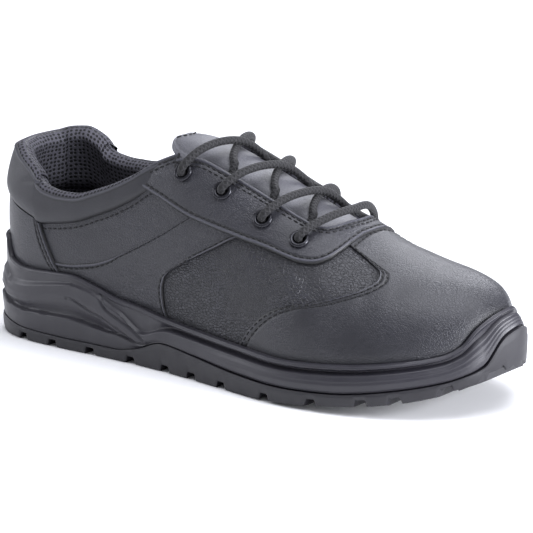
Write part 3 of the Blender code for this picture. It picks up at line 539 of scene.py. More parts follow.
class Last:
    """The foot's form: reads the tables once, at fine steps, and gives any point of the surface from them."""

    def __init__(self) -> None:
        """Reads the tables, the reach of the feather line and the height of the bed under each section."""
        table = np.array(LAST)
        self.k = np.concatenate([np.linspace(0, TIP - 0.1, 3000), np.linspace(TIP - 0.1, TIP, 400)[1:]])
        count = np.arange(len(table))
        self.x = HEEL_AXIS + (FEATHER_TIP - HEEL_AXIS) * share_curve(count, table[:, 0], self.k)
        self.turn = np.radians(share_curve(count, table[:, 1], self.k))
        middle, crown, lean, rise, reach, even = (natural_curve(table[:, i], self.k) for i in range(2, 8))
        self.middle = middle * BALL_WIDTH
        self.crown = crown * INSTEP_HEIGHT
        self.rise, self.reach = rise, reach
        low = {side: self.feather_reach(side) for side in (OUTER, INNER)}
        self.low = low
        self.wide = {OUTER: low[OUTER], INNER: low[INNER] + even * (low[OUTER] - low[INNER])}
        self.bow = {side: lean * BALL_WIDTH * np.clip(low[side] / (0.1 * BALL_WIDTH), 0, 1) for side in low}
        self.bottom = {side: sole_height("bed", self.x - low[side] * np.sin(self.turn)) + GAP for side in low}

    def feather_reach(self, side: float) -> Array:
        """Distance from the spine to the feather line, in the plane of each section.

        Args:
            side: OUTER or INNER.

        Returns:
            The distances.
        """
        ahead = np.stack([-np.sin(self.turn), side * np.cos(self.turn)], -1)
        found = ray_reach(np.stack([self.x, self.middle], -1), ahead, FEATHER)
        return np.where(np.isfinite(found), found, 0.0)

    def point(self, side: Array, k: Array, v: Array) -> Array:
        """Point of the last: a cubic with four handles from the feather up to the crown line.

        Its distance out is low(1-v)^3 + (low + bow)3v(1-v)^2 + reach*wide*3v^2(1-v), and its height is
        bottom + high(rise*3v(1-v)^2 + 3v^2(1-v) + v^3), with the section's own handles.

        Args:
            side: OUTER or INNER for each point.
            k: Section.
            v: Share of the way up.

        Returns:
            The points, in the row's frame.
        """
        side, k, v = np.broadcast_arrays(side, np.asarray(k, float), np.asarray(v, float))
        tables = (self.turn, self.crown, self.rise, self.reach, self.x, self.middle)
        turn, crown, rise, reach, x, middle = (np.interp(k, self.k, table) for table in tables)
        low, wide, bow, bottom = (
            np.where(side < 0, np.interp(k, self.k, pair[OUTER]), np.interp(k, self.k, pair[INNER]))
            for pair in (self.low, self.wide, self.bow, self.bottom)
        )
        high = np.maximum(crown - bottom, 0)
        first, second, third = 3 * v * (1 - v) ** 2, 3 * v**2 * (1 - v), v**3
        out = low * (1 - v) ** 3 + (low + WAIST_BOW * (wide - low) + bow) * first
        out = out + reach * wide * second
        up = bottom + high * (rise * first + second + third)
        return np.stack([x - out * np.sin(turn), middle + side * out * np.cos(turn), up], -1) + SHIFT

    def normal(self, side: Array, k: Array, v: Array) -> Array:
        """Outward unit normal, from small steps along k and v.

        Args:
            side: OUTER or INNER for each point.
            k: Section.
            v: Share of the way up.

        Returns:
            The normals.
        """
        step = 2e-3
        k, v = np.clip(k, 0, TIP), np.clip(v, 0, 1)
        along = self.point(side, np.minimum(k + step, TIP), v) - self.point(side, np.maximum(k - step, 0), v)
        rising = self.point(side, k, np.minimum(v + step, 1)) - self.point(side, k, np.maximum(v - step, 0))
        normal = np.cross(along, rising) * (-np.asarray(side)[..., None])
        return normal / (np.linalg.norm(normal, axis=-1, keepdims=True) + 1e-15)

    def solve(self, measure: Callable[[Array], Array], target: Array) -> Array:
        """Share v at which a measure that falls with v reaches its target, by halving.

        Args:
            measure: The measure at a share.
            target: What it should reach.

        Returns:
            The shares.
        """
        low, high = np.zeros(np.shape(target)), np.ones(np.shape(target))
        for _ in range(24):
            middle = (low + high) / 2
            above = measure(middle) > target
            low = np.where(above, middle, low)
            high = np.where(above, high, middle)
        return (low + high) / 2

    def at_height(self, side: Array, k: Array, height: Array) -> Array:
        """Share v at which a section's profile reaches a height.

        Args:
            side: OUTER or INNER for each point.
            k: Section.
            height: The height.

        Returns:
            The shares.
        """
        side, k, height = np.broadcast_arrays(side, k, height)
        return self.solve(lambda v: -self.point(side, k, v)[..., 2], -height)

    def at_gap(self, side: Array, k: Array, gap: Array) -> Array:
        """Share v at which a section's profile comes within a distance of the crown line.

        Args:
            side: OUTER or INNER for each point.
            k: Section.
            gap: The distance.

        Returns:
            The shares.
        """
        side, k, gap = np.broadcast_arrays(side, k, gap)
        middle = np.interp(k, self.k, self.middle) + SHIFT[1]
        return self.solve(lambda v: side * (self.point(side, k, v)[..., 1] - middle), gap)

    def top(self, side: Array, k: Array) -> Array:
        """Share v of the top line: the collar behind, then the throat, then the crown line itself.

        Args:
            side: OUTER or INNER for each point.
            k: Section.

        Returns:
            The shares.
        """
        height = np.where(side > 0, table_curve(COLLAR, k, 2), table_curve(COLLAR, k))
        behind = self.at_height(side, k, COLLAR_HEIGHT * height)
        gap = BALL_WIDTH * table_curve(THROAT, k) * np.where(side > 0, FAR_SHARE, 1)
        ahead = np.where(k < THROAT_END, self.at_gap(side, k, gap), 1.0)
        return np.where(k < CORNER, behind, ahead)

    def seam(self, side: Array, k: Array) -> Array:
        """Share v of the seam under the collar.

        Args:
            side: OUTER or INNER for each point.
            k: Section.

        Returns:
            The shares.
        """
        return table_curve(COLLAR_SEAM, k) * self.top(side, k)

    def rim(self, side: Array, k: Array, above: float) -> Array:
        """Share v at a height above the sole's rim beside it, or 1 where that stands over the crown line.

        Args:
            side: OUTER or INNER for each point.
            k: Section.
            above: Height over the rim.

        Returns:
            The shares.
        """
        foot = (self.point(OUTER, self.k, 0.0) - SHIFT)[..., :2]
        inner = (self.point(INNER, self.k, 0.0) - SHIFT)[..., :2]
        tall = {}
        for name, line in ((OUTER, foot), (INNER, inner)):
            beside = np.linalg.norm(line[:, None, :] - FEATHER, axis=-1).argmin(axis=-1)
            tall[name] = sole_height("rim", PLAN[beside, 0])
        height = np.where(side < 0, np.interp(k, self.k, tall[OUTER]), np.interp(k, self.k, tall[INNER]))
        return self.at_height(side, k, height + above)

    def section(self, x: float) -> float:
        """Section whose plane stands at x, in front of the heel axis.

        Args:
            x: Distance from the back of the heel.

        Returns:
            The section.
        """
        ahead = self.k >= STRAIGHT
        return float(np.interp(x, self.x[ahead], self.k[ahead]))


LAST_FORM = Last()


def relief(points: Array) -> Array:
    """Soft troughs and ridges of the leather: over each crease -depth(1 - (d/w)^2) exp(-(d/w)^2), faded out
    to its ends, with a slow swell of a fifth of a millimetre between them.

    Args:
        points: Points on the last.

    Returns:
        How far each point stands out.
    """
    found = np.zeros(points.shape[:-1])
    for side in (OUTER, INNER):
        for x1, z1, x2, z2, width, depth in CREASES:
            ends = []
            for x, z in ((x1, z1), (x2, z2)):
                behind = STRAIGHT * x * MM / HEEL_AXIS
                k = LAST_FORM.section(x * MM) if behind > STRAIGHT else behind
                v = LAST_FORM.at_height(side, np.array(k), np.array(z * MM))
                ends.append(LAST_FORM.point(side, k, v))
            start, end = ends
            chord = end - start
            t = np.clip(((points - start) * chord).sum(-1) / (chord @ chord), 0, 1)
            far = np.linalg.norm(points - (start + t[..., None] * chord), axis=-1) / (width * MM)
            fade = np.sin(math.pi * np.clip(t, 0.02, 0.98)) ** 0.6
            found -= depth * MM * fade * (1 - far**2) * np.exp(-(far**2))
    swell = np.sin(points[..., 0] * 95 + 1.3) * np.sin(points[..., 2] * 120 + points[..., 1] * 60)
    return found + 0.2 * MM * swell


class Edge(Enum):
    """How a panel's edge ends: folded in sight, tucked under its neighbour, or down in the sole."""

    FREE = "free"
    TUCKED = "tucked"
    SOLE = "sole"


@dataclass(frozen=True)
class Cut:
    """A leather panel's substance: how far it stands out and how its edge is rounded, folded and sewn."""

    lift: float = OVERLAY
    radius: float = 0.7 * MM
    roll: float = 0.30 * MM
    roll_at: float = 1.1 * MM
    groove: float = 0.32 * MM
    rows: tuple = (2.5 * MM,)


def arc_from(points: Array, axis: int) -> tuple[Array, Array]:
    """Distance of every point of a grid from its two opposite edges, along one way of the grid.

    Args:
        points: The grid.
        axis: 0 to measure along the columns, 1 along the rows.

    Returns:
        Distance from the first edge and from the last one.
    """
    step = np.linalg.norm(np.diff(points, axis=axis), axis=-1)
    run = np.insert(np.cumsum(step, axis=axis), 0, 0, axis=axis)
    return run, np.take(run, [-1], axis=axis) - run


def running_lengths(points: Array) -> Array:
    """Lengths along the rows and up the columns of a grid, for patterns that follow the surface.

    Args:
        points: The grid.

    Returns:
        Two lengths for each point.
    """
    return np.stack([arc_from(points, 1)[0], arc_from(points, 0)[0]], -1)


def dense(count: int, pull: float = 0.82) -> Array:
    """Steps from 0 to 1 that stand closer near both ends: u - pull sin(2 pi u) / 2 pi.

    Args:
        count: How many.
        pull: How much closer, from 0 to 1.

    Returns:
        The steps.
    """
    u = np.linspace(0, 1, count)
    return u - pull * np.sin(2 * math.pi * u) / (2 * math.pi)


def grid_quads(rows: int, columns: int, start: int = 0) -> Array:
    """Quads of a grid of points numbered row by row.

    Args:
        rows: Rows of points.
        columns: Columns of points.
        start: Number of the first point.

    Returns:
        Four corners for each quad.
    """
    corner = np.arange(rows * columns).reshape(rows, columns) + start
    quads = np.stack([corner[:-1, :-1], corner[:-1, 1:], corner[1:, 1:], corner[1:, :-1]], -1)
    return quads.reshape(-1, 4)


def make_piece(
    name: str,
    points: Array,
    faces: Union[Array, list],
    material: bpy.types.Material,
    node: Union[str, Sequence[str], None] = None,
    edge: Optional[Array] = None,
    uv: Optional[Array] = None,
) -> bpy.types.Object:
    """Object of the shoe from points and faces, with doubles merged, riding on the one body.

    Args:
        name: Its name.
        points: Points, in the row's frame.
        faces: Corners of each face.
        material: Its finish.
        node: CAD node or nodes that it stands for.
        edge: How near each point is to an edge, from 0 to 1, for its colour marks: painted highlight
        with rubbing, painted shade with edge paint.
        uv: Two running lengths for each point.

    Returns:
        The object.
    """
    mesh = bpy.data.meshes.new(name)
    corners = faces if isinstance(faces, list) else faces.tolist()
    mesh.from_pydata(np.asarray(points).reshape(-1, 3).tolist(), [], corners)
    if edge is not None:
        layer = mesh.attributes.new("Edge", "FLOAT", "POINT")
        layer.data.foreach_set("value", np.asarray(edge, np.float32).ravel())
    if uv is not None:
        layer = mesh.uv_layers.new(name="Running")
        index = np.empty(len(mesh.loops), np.int32)
        mesh.loops.foreach_get("vertex_index", index)
        layer.data.foreach_set("uv", np.asarray(uv, np.float32).reshape(-1, 2)[index].ravel())
    shape = bmesh.new()
    shape.from_mesh(mesh)
    bmesh.ops.remove_doubles(shape, verts=shape.verts, dist=1e-6)
    bmesh.ops.recalc_face_normals(shape, faces=shape.faces)
    shape.to_mesh(mesh)
    shape.free()
    mesh.shade_smooth()
    mesh.set_sharp_from_angle(angle=math.radians(50))
    mesh.materials.append(material)
    item = bpy.data.objects.new(name, mesh)
    bpy.context.scene.collection.objects.link(item)
    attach(item, "root")
    if node is not None:
        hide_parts(*([node] if isinstance(node, str) else node))
    return item


def slab_faces(rows: int, columns: int) -> Array:
    """Faces of a closed slab: two grids one over the other, walled round their edges.

    Args:
        rows: Rows of points.
        columns: Columns of points.

    Returns:
        Four corners for each face.
    """
    size = rows * columns
    corner = np.arange(size).reshape(rows, columns)
    walls = [
        np.stack([edge[:-1], edge[1:], edge[1:] + size, edge[:-1] + size], -1)
        for edge in (corner[0], corner[:, -1], corner[-1], corner[:, 0])
    ]
    return np.concatenate([grid_quads(rows, columns), grid_quads(rows, columns, size)] + walls)


def make_slab(
    name: str,
    face: Array,
    back: Array,
    near: Array,
    uv: Array,
    material: bpy.types.Material,
    node: Optional[str] = None,
) -> bpy.types.Object:
    """Closed slab between two grids of points.

    Args:
        name: Its name.
        face: Grid of its outer face.
        back: Grid of its inner face.
        near: How near each point is to an edge, for its colour marks: painted highlight with rubbing,
        painted shade with edge paint.
        uv: Two running lengths for each point.
        material: Its finish.
        node: CAD node that it stands for.

    Returns:
        The object.
    """
    points, edge, uv = (np.stack(pair) for pair in ((face, back), (near, near), (uv, uv)))
    return make_piece(name, points, slab_faces(*near.shape), material, node, edge, uv)


@dataclass
class Patch:
    """Grid of places on the last, from its first row to its last, with how each of its edges ends."""

    side: Array
    k: Array
    v: Array
    bottom: Edge = Edge.TUCKED
    top: Edge = Edge.TUCKED
    start: Edge = Edge.TUCKED
    end: Edge = Edge.TUCKED

    def skin(self) -> tuple[Array, Array]:
        """The grid on the bare last.

        Returns:
            Its points and outward normals.
        """
        shape = (self.side, self.k, self.v)
        return LAST_FORM.point(*shape), LAST_FORM.normal(*shape)

    def edges(self, points: Array) -> list[tuple[Edge, Array]]:
        """Each edge with every point's distance to it.

        Args:
            points: The grid's points.

        Returns:
            Pairs of the edge's kind and the distances.
        """
        up, down = arc_from(points, 0)
        on, back = arc_from(points, 1)
        return [(self.bottom, up), (self.top, down), (self.start, on), (self.end, back)]

    def lift(self, points: Array, cut: Cut) -> tuple[Array, Array]:
        """How far the panel's face stands over the last, and how near each point is to a free edge, which
        sets its
        colour marks: a paler fold line that is rubbing and painted highlight, and dark lines at the cut edge
        and in the stitch rows that are edge paint and painted shade.

        At distance d from a free edge it is lift * sqrt(1 - (1 - d/radius)^2), with a folded roll
        exp(-((d - roll_at)/0.7 mm)^2) on it and a groove under each row of stitches.

        Args:
            points: The grid's points.
            cut: The panel's substance.

        Returns:
            The lifts and the nearness.
        """
        lift = np.full(points.shape[:2], cut.lift)
        near = np.zeros(points.shape[:2])
        for kind, away in self.edges(points):
            if kind is Edge.FREE:
                lift *= np.sqrt(1 - (1 - np.clip(away / cut.radius, 0, 1)) ** 2)
                lift += cut.roll * np.exp(-(((away - cut.roll_at) / (0.7 * MM)) ** 2))
                for row in cut.rows:
                    lift -= cut.groove * np.exp(-(((away - row) / (0.55 * MM)) ** 2))
                # Paler line along the fold's crest: rubbing and painted highlight.
                strength = 0.4 + 0.6 * (cut.roll > 0.1 * MM)
                fold = strength * np.exp(-(((away - cut.roll_at) / (0.5 * MM)) ** 2))
                near = np.where(fold > np.abs(near), fold, near)
                # Dark line in each stitch row's groove: painted shade.
                for row in cut.rows:
                    ink_and_shade = np.exp(-(((away - row) / (0.5 * MM)) ** 2))
                    near = np.where(ink_and_shade > np.abs(near), -0.8 * ink_and_shade, near)
                # Dark line at the cut edge: edge paint, made wide enough to paint the shade line along the
                # edge.
                ink_and_shade = np.exp(-((away / (0.8 * cut.radius)) ** 4))
                near = np.where(ink_and_shade > np.abs(near), -ink_and_shade, near)
            elif kind is Edge.SOLE:
                lift *= 0.55 + 0.45 * smooth((away - 2 * MM) / (5 * MM))
        return lift, near

    def along_edge(self, edge: str, inset: float, cut: Cut) -> tuple[Array, Array]:
        """Line on the panel's face at a distance inside one of its edges.

        Args:
            edge: bottom, top, start or end.
            inset: The distance.
            cut: The panel's substance.

        Returns:
            The line's points and outward normals.
        """
        points, normals = self.skin()
        lift, _ = self.lift(points, cut)
        face = points + normals * (lift + relief(points))[..., None]
        if edge in ("bottom", "top"):
            face, normals, points = (a.transpose(1, 0, 2) for a in (face, normals, points))
        if edge in ("top", "end"):
            face, normals, points = face[:, ::-1], normals[:, ::-1], points[:, ::-1]
        run, _ = arc_from(points, 1)
        after = np.clip((run < inset).sum(axis=1), 1, run.shape[1] - 1)
        row = np.arange(len(run))
        part = (inset - run[row, after - 1]) / (run[row, after] - run[row, after - 1] + 1e-12)
        part = np.clip(part, 0, 1)[:, None]
        line = face[row, after - 1] * (1 - part) + face[row, after] * part
        return line, normals[row, after]


def add_panel(
    name: str,
    patch: Patch,
    cut: Cut,
    material: bpy.types.Material,
    under: float = -0.25 * MM,
    node: Optional[str] = None,
    creased: bool = True,
) -> bpy.types.Object:
    """Leather panel as a closed slab on the last, with its rounded, folded and grooved edges.

    Args:
        name: Its name.
        patch: Where it lies.
        cut: Its substance.
        material: Its finish.
        under: Lift of its lower face.
        node: CAD node that it stands for.
        creased: Whether it takes the creases.

    Returns:
        The object.
    """
    points, normals = patch.skin()
    lift, near = patch.lift(points, cut)
    fold = relief(points) if creased else 0 * lift
    face = points + normals * (lift + fold)[..., None]
    back = points + normals * np.minimum(under + fold, lift + fold - 0.1 * MM)[..., None]
    return make_slab(name, face, back, near, running_lengths(points), material, node)


def linear(code: str, gain: float = 1.0) -> tuple[float, float, float, float]:
    """Linear colour of an sRGB hex code.

    Args:
        code: Six hex digits.
        gain: How many times as bright it is made.

    Returns:
        Red, green, blue and 1.
    """
    parts = [int(code[i : i + 2], 16) / 255 for i in (0, 2, 4)]
    red, green, blue = (gain * (c / 12.92 if c <= 0.04045 else ((c + 0.055) / 1.055) ** 2.4) for c in parts)
    return red, green, blue, 1.0


def feed(tree: bpy.types.NodeTree, node: bpy.types.Node, inputs: dict) -> None:
    """Sets or links inputs of a shader node.

    Args:
        tree: The node tree.
        node: The node.
        inputs: For each input, by name or number, its value or the socket that feeds it.
    """
    for name, value in inputs.items():
        if isinstance(value, bpy.types.NodeSocket):
            tree.links.new(value, node.inputs[name])
        else:
            node.inputs[name].default_value = value


def add_node(
    tree: bpy.types.NodeTree, kind: str, inputs: Optional[dict] = None, **settings: object
) -> bpy.types.Node:
    """New shader node, set and linked.

    Args:
        tree: The node tree.
        kind: The node's type.
        inputs: For each input, by name or number, its value or the socket that feeds it.
        settings: Properties of the node.

    Returns:
        The node.
    """
    node = tree.nodes.new(kind)
    for name, value in settings.items():
        setattr(node, name, value)
    feed(tree, node, inputs or {})
    return node


def new_material(
    name: str,
) -> tuple[bpy.types.Material, Callable[..., bpy.types.Node], Callable[[dict], None]]:
    """Material with its Principled shader.

    Args:
        name: Its name.

    Returns:
        The material, add_node for its tree, and feed for its shader.
    """
    material = bpy.data.materials.new(name)
    material.use_nodes = True
    tree = material.node_tree
    return material, partial(add_node, tree), partial(feed, tree, tree.nodes["Principled BSDF"])


@dataclass(frozen=True)
class Leather:
    """Full-grain leather, drum dyed and lightly pigmented: small rounded pebbles between fine creases, softer
    and glossier where it is stretched. Its colour carries painted light: shade painted into the pebbles'
    valleys, a paler line along fold crests that is rubbing and painted highlight, and a dark line along cut
    edges and stitch rows that is edge paint and painted shade. The eye sees a cool, softly glossy black."""

    name: str
    colour: str = "28282f"
    # The worn colour paints the paler line along fold crests, rubbing and painted highlight; the next colour
    # paints the dark line along cut edges, stitch rows and the collar's foot, edge paint and painted shade.
    worn: str = "4a4a54"
    ink_and_shade: str = "070709"
    roughness: float = 0.42
    pebble: float = 1.1 * MM
    depth: float = 0.10 * MM
    stretch: float = 0.8
    # Share of the colour left deep in the pebbles' valleys: painted shade.
    valley_shade: float = 0.7
    wrinkle: float = 0.12 * MM
    gloss: float = 0.55

    def build(self) -> bpy.types.Material:
        """Makes the material.

        Returns:
            The material.
        """
        material, add, feed_shader = new_material(self.name)
        place = add("ShaderNodeTexCoord").outputs["Object"]
        warp = add("ShaderNodeTexNoise", {"Vector": place, "Scale": 0.6 / self.pebble, "Detail": 2.0})
        push = {0: warp.outputs["Color"], 1: (self.pebble * 0.8,) * 3, 2: place}
        bent = add("ShaderNodeVectorMath", push, operation="MULTIPLY_ADD").outputs[0]
        drawn = add("ShaderNodeMapping", {"Vector": bent, "Scale": (self.stretch, 1.0, 1.0)})
        lattice = {"Vector": drawn.outputs[0], "Scale": 1 / self.pebble}
        cells = add("ShaderNodeTexVoronoi", lattice, feature="DISTANCE_TO_EDGE")
        dome = {0: cells.outputs["Distance"], 1: 0.0, 2: 0.16, 3: 0.0, 4: 1.0}
        pebbles = add("ShaderNodeMapRange", dome, interpolation_type="SMOOTHSTEP")
        pores = add("ShaderNodeTexNoise", {"Vector": place, "Scale": 2600.0, "Detail": 3.0})
        slow = add("ShaderNodeTexNoise", {"Vector": place, "Scale": 38.0, "Detail": 3.0})
        long = add("ShaderNodeMapping", {"Vector": bent, "Scale": (0.35, 1.0, 1.0), "Rotation": (0, 0.6, 0)})
        streaks = {"Vector": long.outputs[0], "Scale": 420.0, "Detail": 4.0, "Distortion": 0.6}
        folds = add("ShaderNodeTexNoise", streaks)
        patchy = add("ShaderNodeMapRange", {0: slow.outputs["Fac"], 1: 0.35, 2: 0.65, 3: 0.35, 4: 1.0})
        both = {0: pebbles.outputs[0], 1: patchy.outputs[0]}
        grain = add("ShaderNodeMath", both, operation="MULTIPLY").outputs[0]
        under = {}
        for strength, depth, height in (
            (0.9, self.wrinkle, folds.outputs["Fac"]),
            (1.0, self.depth, grain),
            (0.5, 0.02 * MM, pores.outputs["Fac"]),
        ):
            bump = add("ShaderNodeBump", {"Strength": strength, "Distance": depth, "Height": height, **under})
            under = {"Normal": bump.outputs["Normal"]}
        edge = add("ShaderNodeAttribute", attribute_name="Edge").outputs["Fac"]
        # Above zero the Edge attribute paints the paler fold line, rubbing and painted highlight; below zero
        # it paints the dark line, edge paint and painted shade.
        wear_and_highlight, ink_and_shade = (
            add("ShaderNodeMath", {0: edge, 1: gain}, operation="MULTIPLY", use_clamp=True).outputs[0]
            for gain in (0.7, -1.0)
        )
        stain = {0: slow.outputs["Fac"], 6: linear(self.colour), 7: linear(self.colour, 1.25)}
        tone = add("ShaderNodeMix", stain, data_type="RGBA").outputs[2]
        # Painted shade: the colour darkens into the pebbles' valleys.
        deep = {0: grain, 6: linear(self.colour, self.valley_shade), 7: tone}
        valley_shade = add("ShaderNodeMix", deep, data_type="RGBA").outputs[2]
        folded = add("ShaderNodeMix", {0: wear_and_highlight, 6: valley_shade, 7: linear(self.worn)}, data_type="RGBA").outputs[2]
        colour = add("ShaderNodeMix", {0: ink_and_shade, 6: folded, 7: linear(self.ink_and_shade)}, data_type="RGBA")
        span = {1: 0.3, 2: 0.7, 3: self.roughness + 0.06, 4: self.roughness - 0.05}
        rough = add("ShaderNodeMapRange", {0: slow.outputs["Fac"], **span})
        feed_shader({"Base Color": colour.outputs[2], "Roughness": rough.outputs[0], **under})
        feed_shader({"Specular IOR Level": self.gloss})
        return material


@dataclass(frozen=True)
class Rubber:
    """Moulded rubber or foam skin: matt, with the fine spark texture of its steel mould and faint dust in it.
    The eye sees a slightly warm black that goes grey where it turns to the light."""

    name: str
    colour: str = "25242a"
    roughness: float = 0.42
    texture: float = 0.05 * MM

    def build(self) -> bpy.types.Material:
        """Makes the material.

        Returns:
            The material.
        """
        material, add, feed_shader = new_material(self.name)
        place = add("ShaderNodeTexCoord").outputs["Object"]
        spark = add("ShaderNodeTexNoise", {"Vector": place, "Scale": 1500.0, "Detail": 4.0})
        slow = add("ShaderNodeTexNoise", {"Vector": place, "Scale": 30.0, "Detail": 4.0})
        scuff = add("ShaderNodeTexNoise", {"Vector": place, "Scale": 160.0, "Detail": 6.0})
        relief_of = {"Strength": 0.7, "Distance": self.texture, "Height": spark.outputs["Fac"]}
        bump = add("ShaderNodeBump", relief_of)
        dust = {0: slow.outputs["Fac"], 6: linear(self.colour), 7: linear(self.colour, 1.35)}
        tone = add("ShaderNodeMix", dust, data_type="RGBA")
        span = {1: 0.3, 2: 0.7, 3: self.roughness - 0.05, 4: self.roughness + 0.08}
        rough = add("ShaderNodeMapRange", {0: scuff.outputs["Fac"], **span})
        feed_shader({"Base Color": tone.outputs[2], "Roughness": rough.outputs[0], "Normal": bump.outputs[0]})
        return material


@dataclass(frozen=True)
class SpacerMesh:
    """Knitted polyester spacer mesh: a dull grey net with round holes a few millimetres apart, painted nearly
    black inside them as shade. It lines the collar and the quarters."""

    name: str
    yarn: str = "47464e"
    # Colour painted inside the holes as shade.
    hole_shade: str = "060608"
    pitch: float = 2.2 * MM

    def build(self) -> bpy.types.Material:
        """Makes the material.

        Returns:
            The material.
        """
        material, add, feed_shader = new_material(self.name)
        running = add("ShaderNodeUVMap", uv_map="Running").outputs["UV"]
        lattice = {"Vector": running, "Scale": 1 / self.pitch, "Randomness": 0.28}
        cells = add("ShaderNodeTexVoronoi", lattice, voronoi_dimensions="2D")
        rim = add("ShaderNodeMapRange", {0: cells.outputs["Distance"], 1: 0.22, 2: 0.40, 3: 0.0, 4: 1.0})
        yarn = add("ShaderNodeTexNoise", {"Vector": running, "Scale": 3500.0, "Detail": 2.0})
        # Painted shade: the holes are coloured nearly black.
        shades = {0: rim.outputs[0], 6: linear(self.hole_shade), 7: linear(self.yarn)}
        tone = add("ShaderNodeMix", shades, data_type="RGBA")
        under = {}
        knit = ((1.0, 0.5 * MM, rim.outputs[0]), (0.5, 0.08 * MM, yarn.outputs["Fac"]))
        for strength, depth, height in knit:
            bump = add("ShaderNodeBump", {"Strength": strength, "Distance": depth, "Height": height, **under})
            under = {"Normal": bump.outputs["Normal"]}
        feed_shader({"Base Color": tone.outputs[2], "Roughness": 0.85, **under})
        return material


@dataclass(frozen=True)
class Braid:
    """Round braided polyester lace or bonded thread: plaited strands that cross both ways, dull with a faint
    sheen, grey on top of each strand, with painted shade nearly black between them."""

    name: str
    colour: str = "18171b"
    # Colour of the painted shade between strands.
    dark: str = "050507"
    strands: float = 8.0
    pitch: float = 2.3 * MM

    def build(self) -> bpy.types.Material:
        """Makes the material.

        Returns:
            The material.
        """
        material, add, feed_shader = new_material(self.name)
        running = add("ShaderNodeUVMap", uv_map="Running").outputs["UV"]
        parts = add("ShaderNodeSeparateXYZ", {0: running})
        along, round_it = (
            add("ShaderNodeMath", {0: parts.outputs[i], 1: turns}, operation="MULTIPLY").outputs[0]
            for i, turns in enumerate((2 * math.pi / self.pitch, math.pi * self.strands))
        )
        waves = []
        for way in ("ADD", "SUBTRACT"):
            angle = add("ShaderNodeMath", {0: along, 1: round_it}, operation=way).outputs[0]
            waves.append(add("ShaderNodeMath", {0: angle}, operation="SINE").outputs[0])
        plait = add("ShaderNodeMath", {0: waves[0], 1: waves[1]}, operation="MAXIMUM").outputs[0]
        high = add("ShaderNodeMapRange", {0: plait, 1: -0.2, 2: 0.9, 3: 0.0, 4: 1.0}).outputs[0]
        # Painted shade: the dark colour fills the gaps between strands.
        tone = add("ShaderNodeMix", {0: high, 6: linear(self.dark), 7: linear(self.colour)}, data_type="RGBA")
        bump = add("ShaderNodeBump", {"Strength": 1.0, "Distance": 0.25 * MM, "Height": high})
        feed_shader({"Base Color": tone.outputs[2], "Normal": bump.outputs[0]})
        feed_shader({"Roughness": 0.72, "Sheen Weight": 0.06})
        return material


@dataclass(frozen=True)
class Enamel:
    """Stove-enamelled steel of the eyelets: a glossy black skin with faint waves, worn a little on its crest,
    and a mirror-like line of light round it."""

    name: str
    colour: str = "2a2a2f"
    roughness: float = 0.22

    def build(self) -> bpy.types.Material:
        """Makes the material.

        Returns:
            The material.
        """
        material, add, feed_shader = new_material(self.name)
        place = add("ShaderNodeTexCoord").outputs["Object"]
        wave = add("ShaderNodeTexNoise", {"Vector": place, "Scale": 700.0, "Detail": 3.0}).outputs["Fac"]
        bump = add("ShaderNodeBump", {"Strength": 0.4, "Distance": 0.03 * MM, "Height": wave})
        span = {1: 0.3, 2: 0.7, 3: self.roughness - 0.06, 4: self.roughness + 0.1}
        rough = add("ShaderNodeMapRange", {0: wave, **span})
        feed_shader({"Roughness": rough.outputs[0], "Normal": bump.outputs[0]})
        feed_shader({"Base Color": linear(self.colour), "Metallic": 0.55})
        return material


@dataclass(frozen=True)
class Felt:
    """Needled polyester of the footbed: black, matt and fibrous, with short fibres lying every way."""

    name: str
    colour: str = "17171b"

    def build(self) -> bpy.types.Material:
        """Makes the material.

        Returns:
            The material.
        """
        material, add, feed_shader = new_material(self.name)
        place = add("ShaderNodeTexCoord").outputs["Object"]
        needled = {"Vector": place, "Scale": 1400.0, "Detail": 5.0, "Distortion": 1.5}
        fibre = add("ShaderNodeTexNoise", needled).outputs["Fac"]
        bump = add("ShaderNodeBump", {"Strength": 0.9, "Distance": 0.2 * MM, "Height": fibre})
        shades = {0: fibre, 6: linear(self.colour), 7: linear(self.colour, 1.8)}
        tone = add("ShaderNodeMix", shades, data_type="RGBA")
        feed_shader({"Base Color": tone.outputs[2], "Roughness": 0.95, "Normal": bump.outputs[0]})
        return material


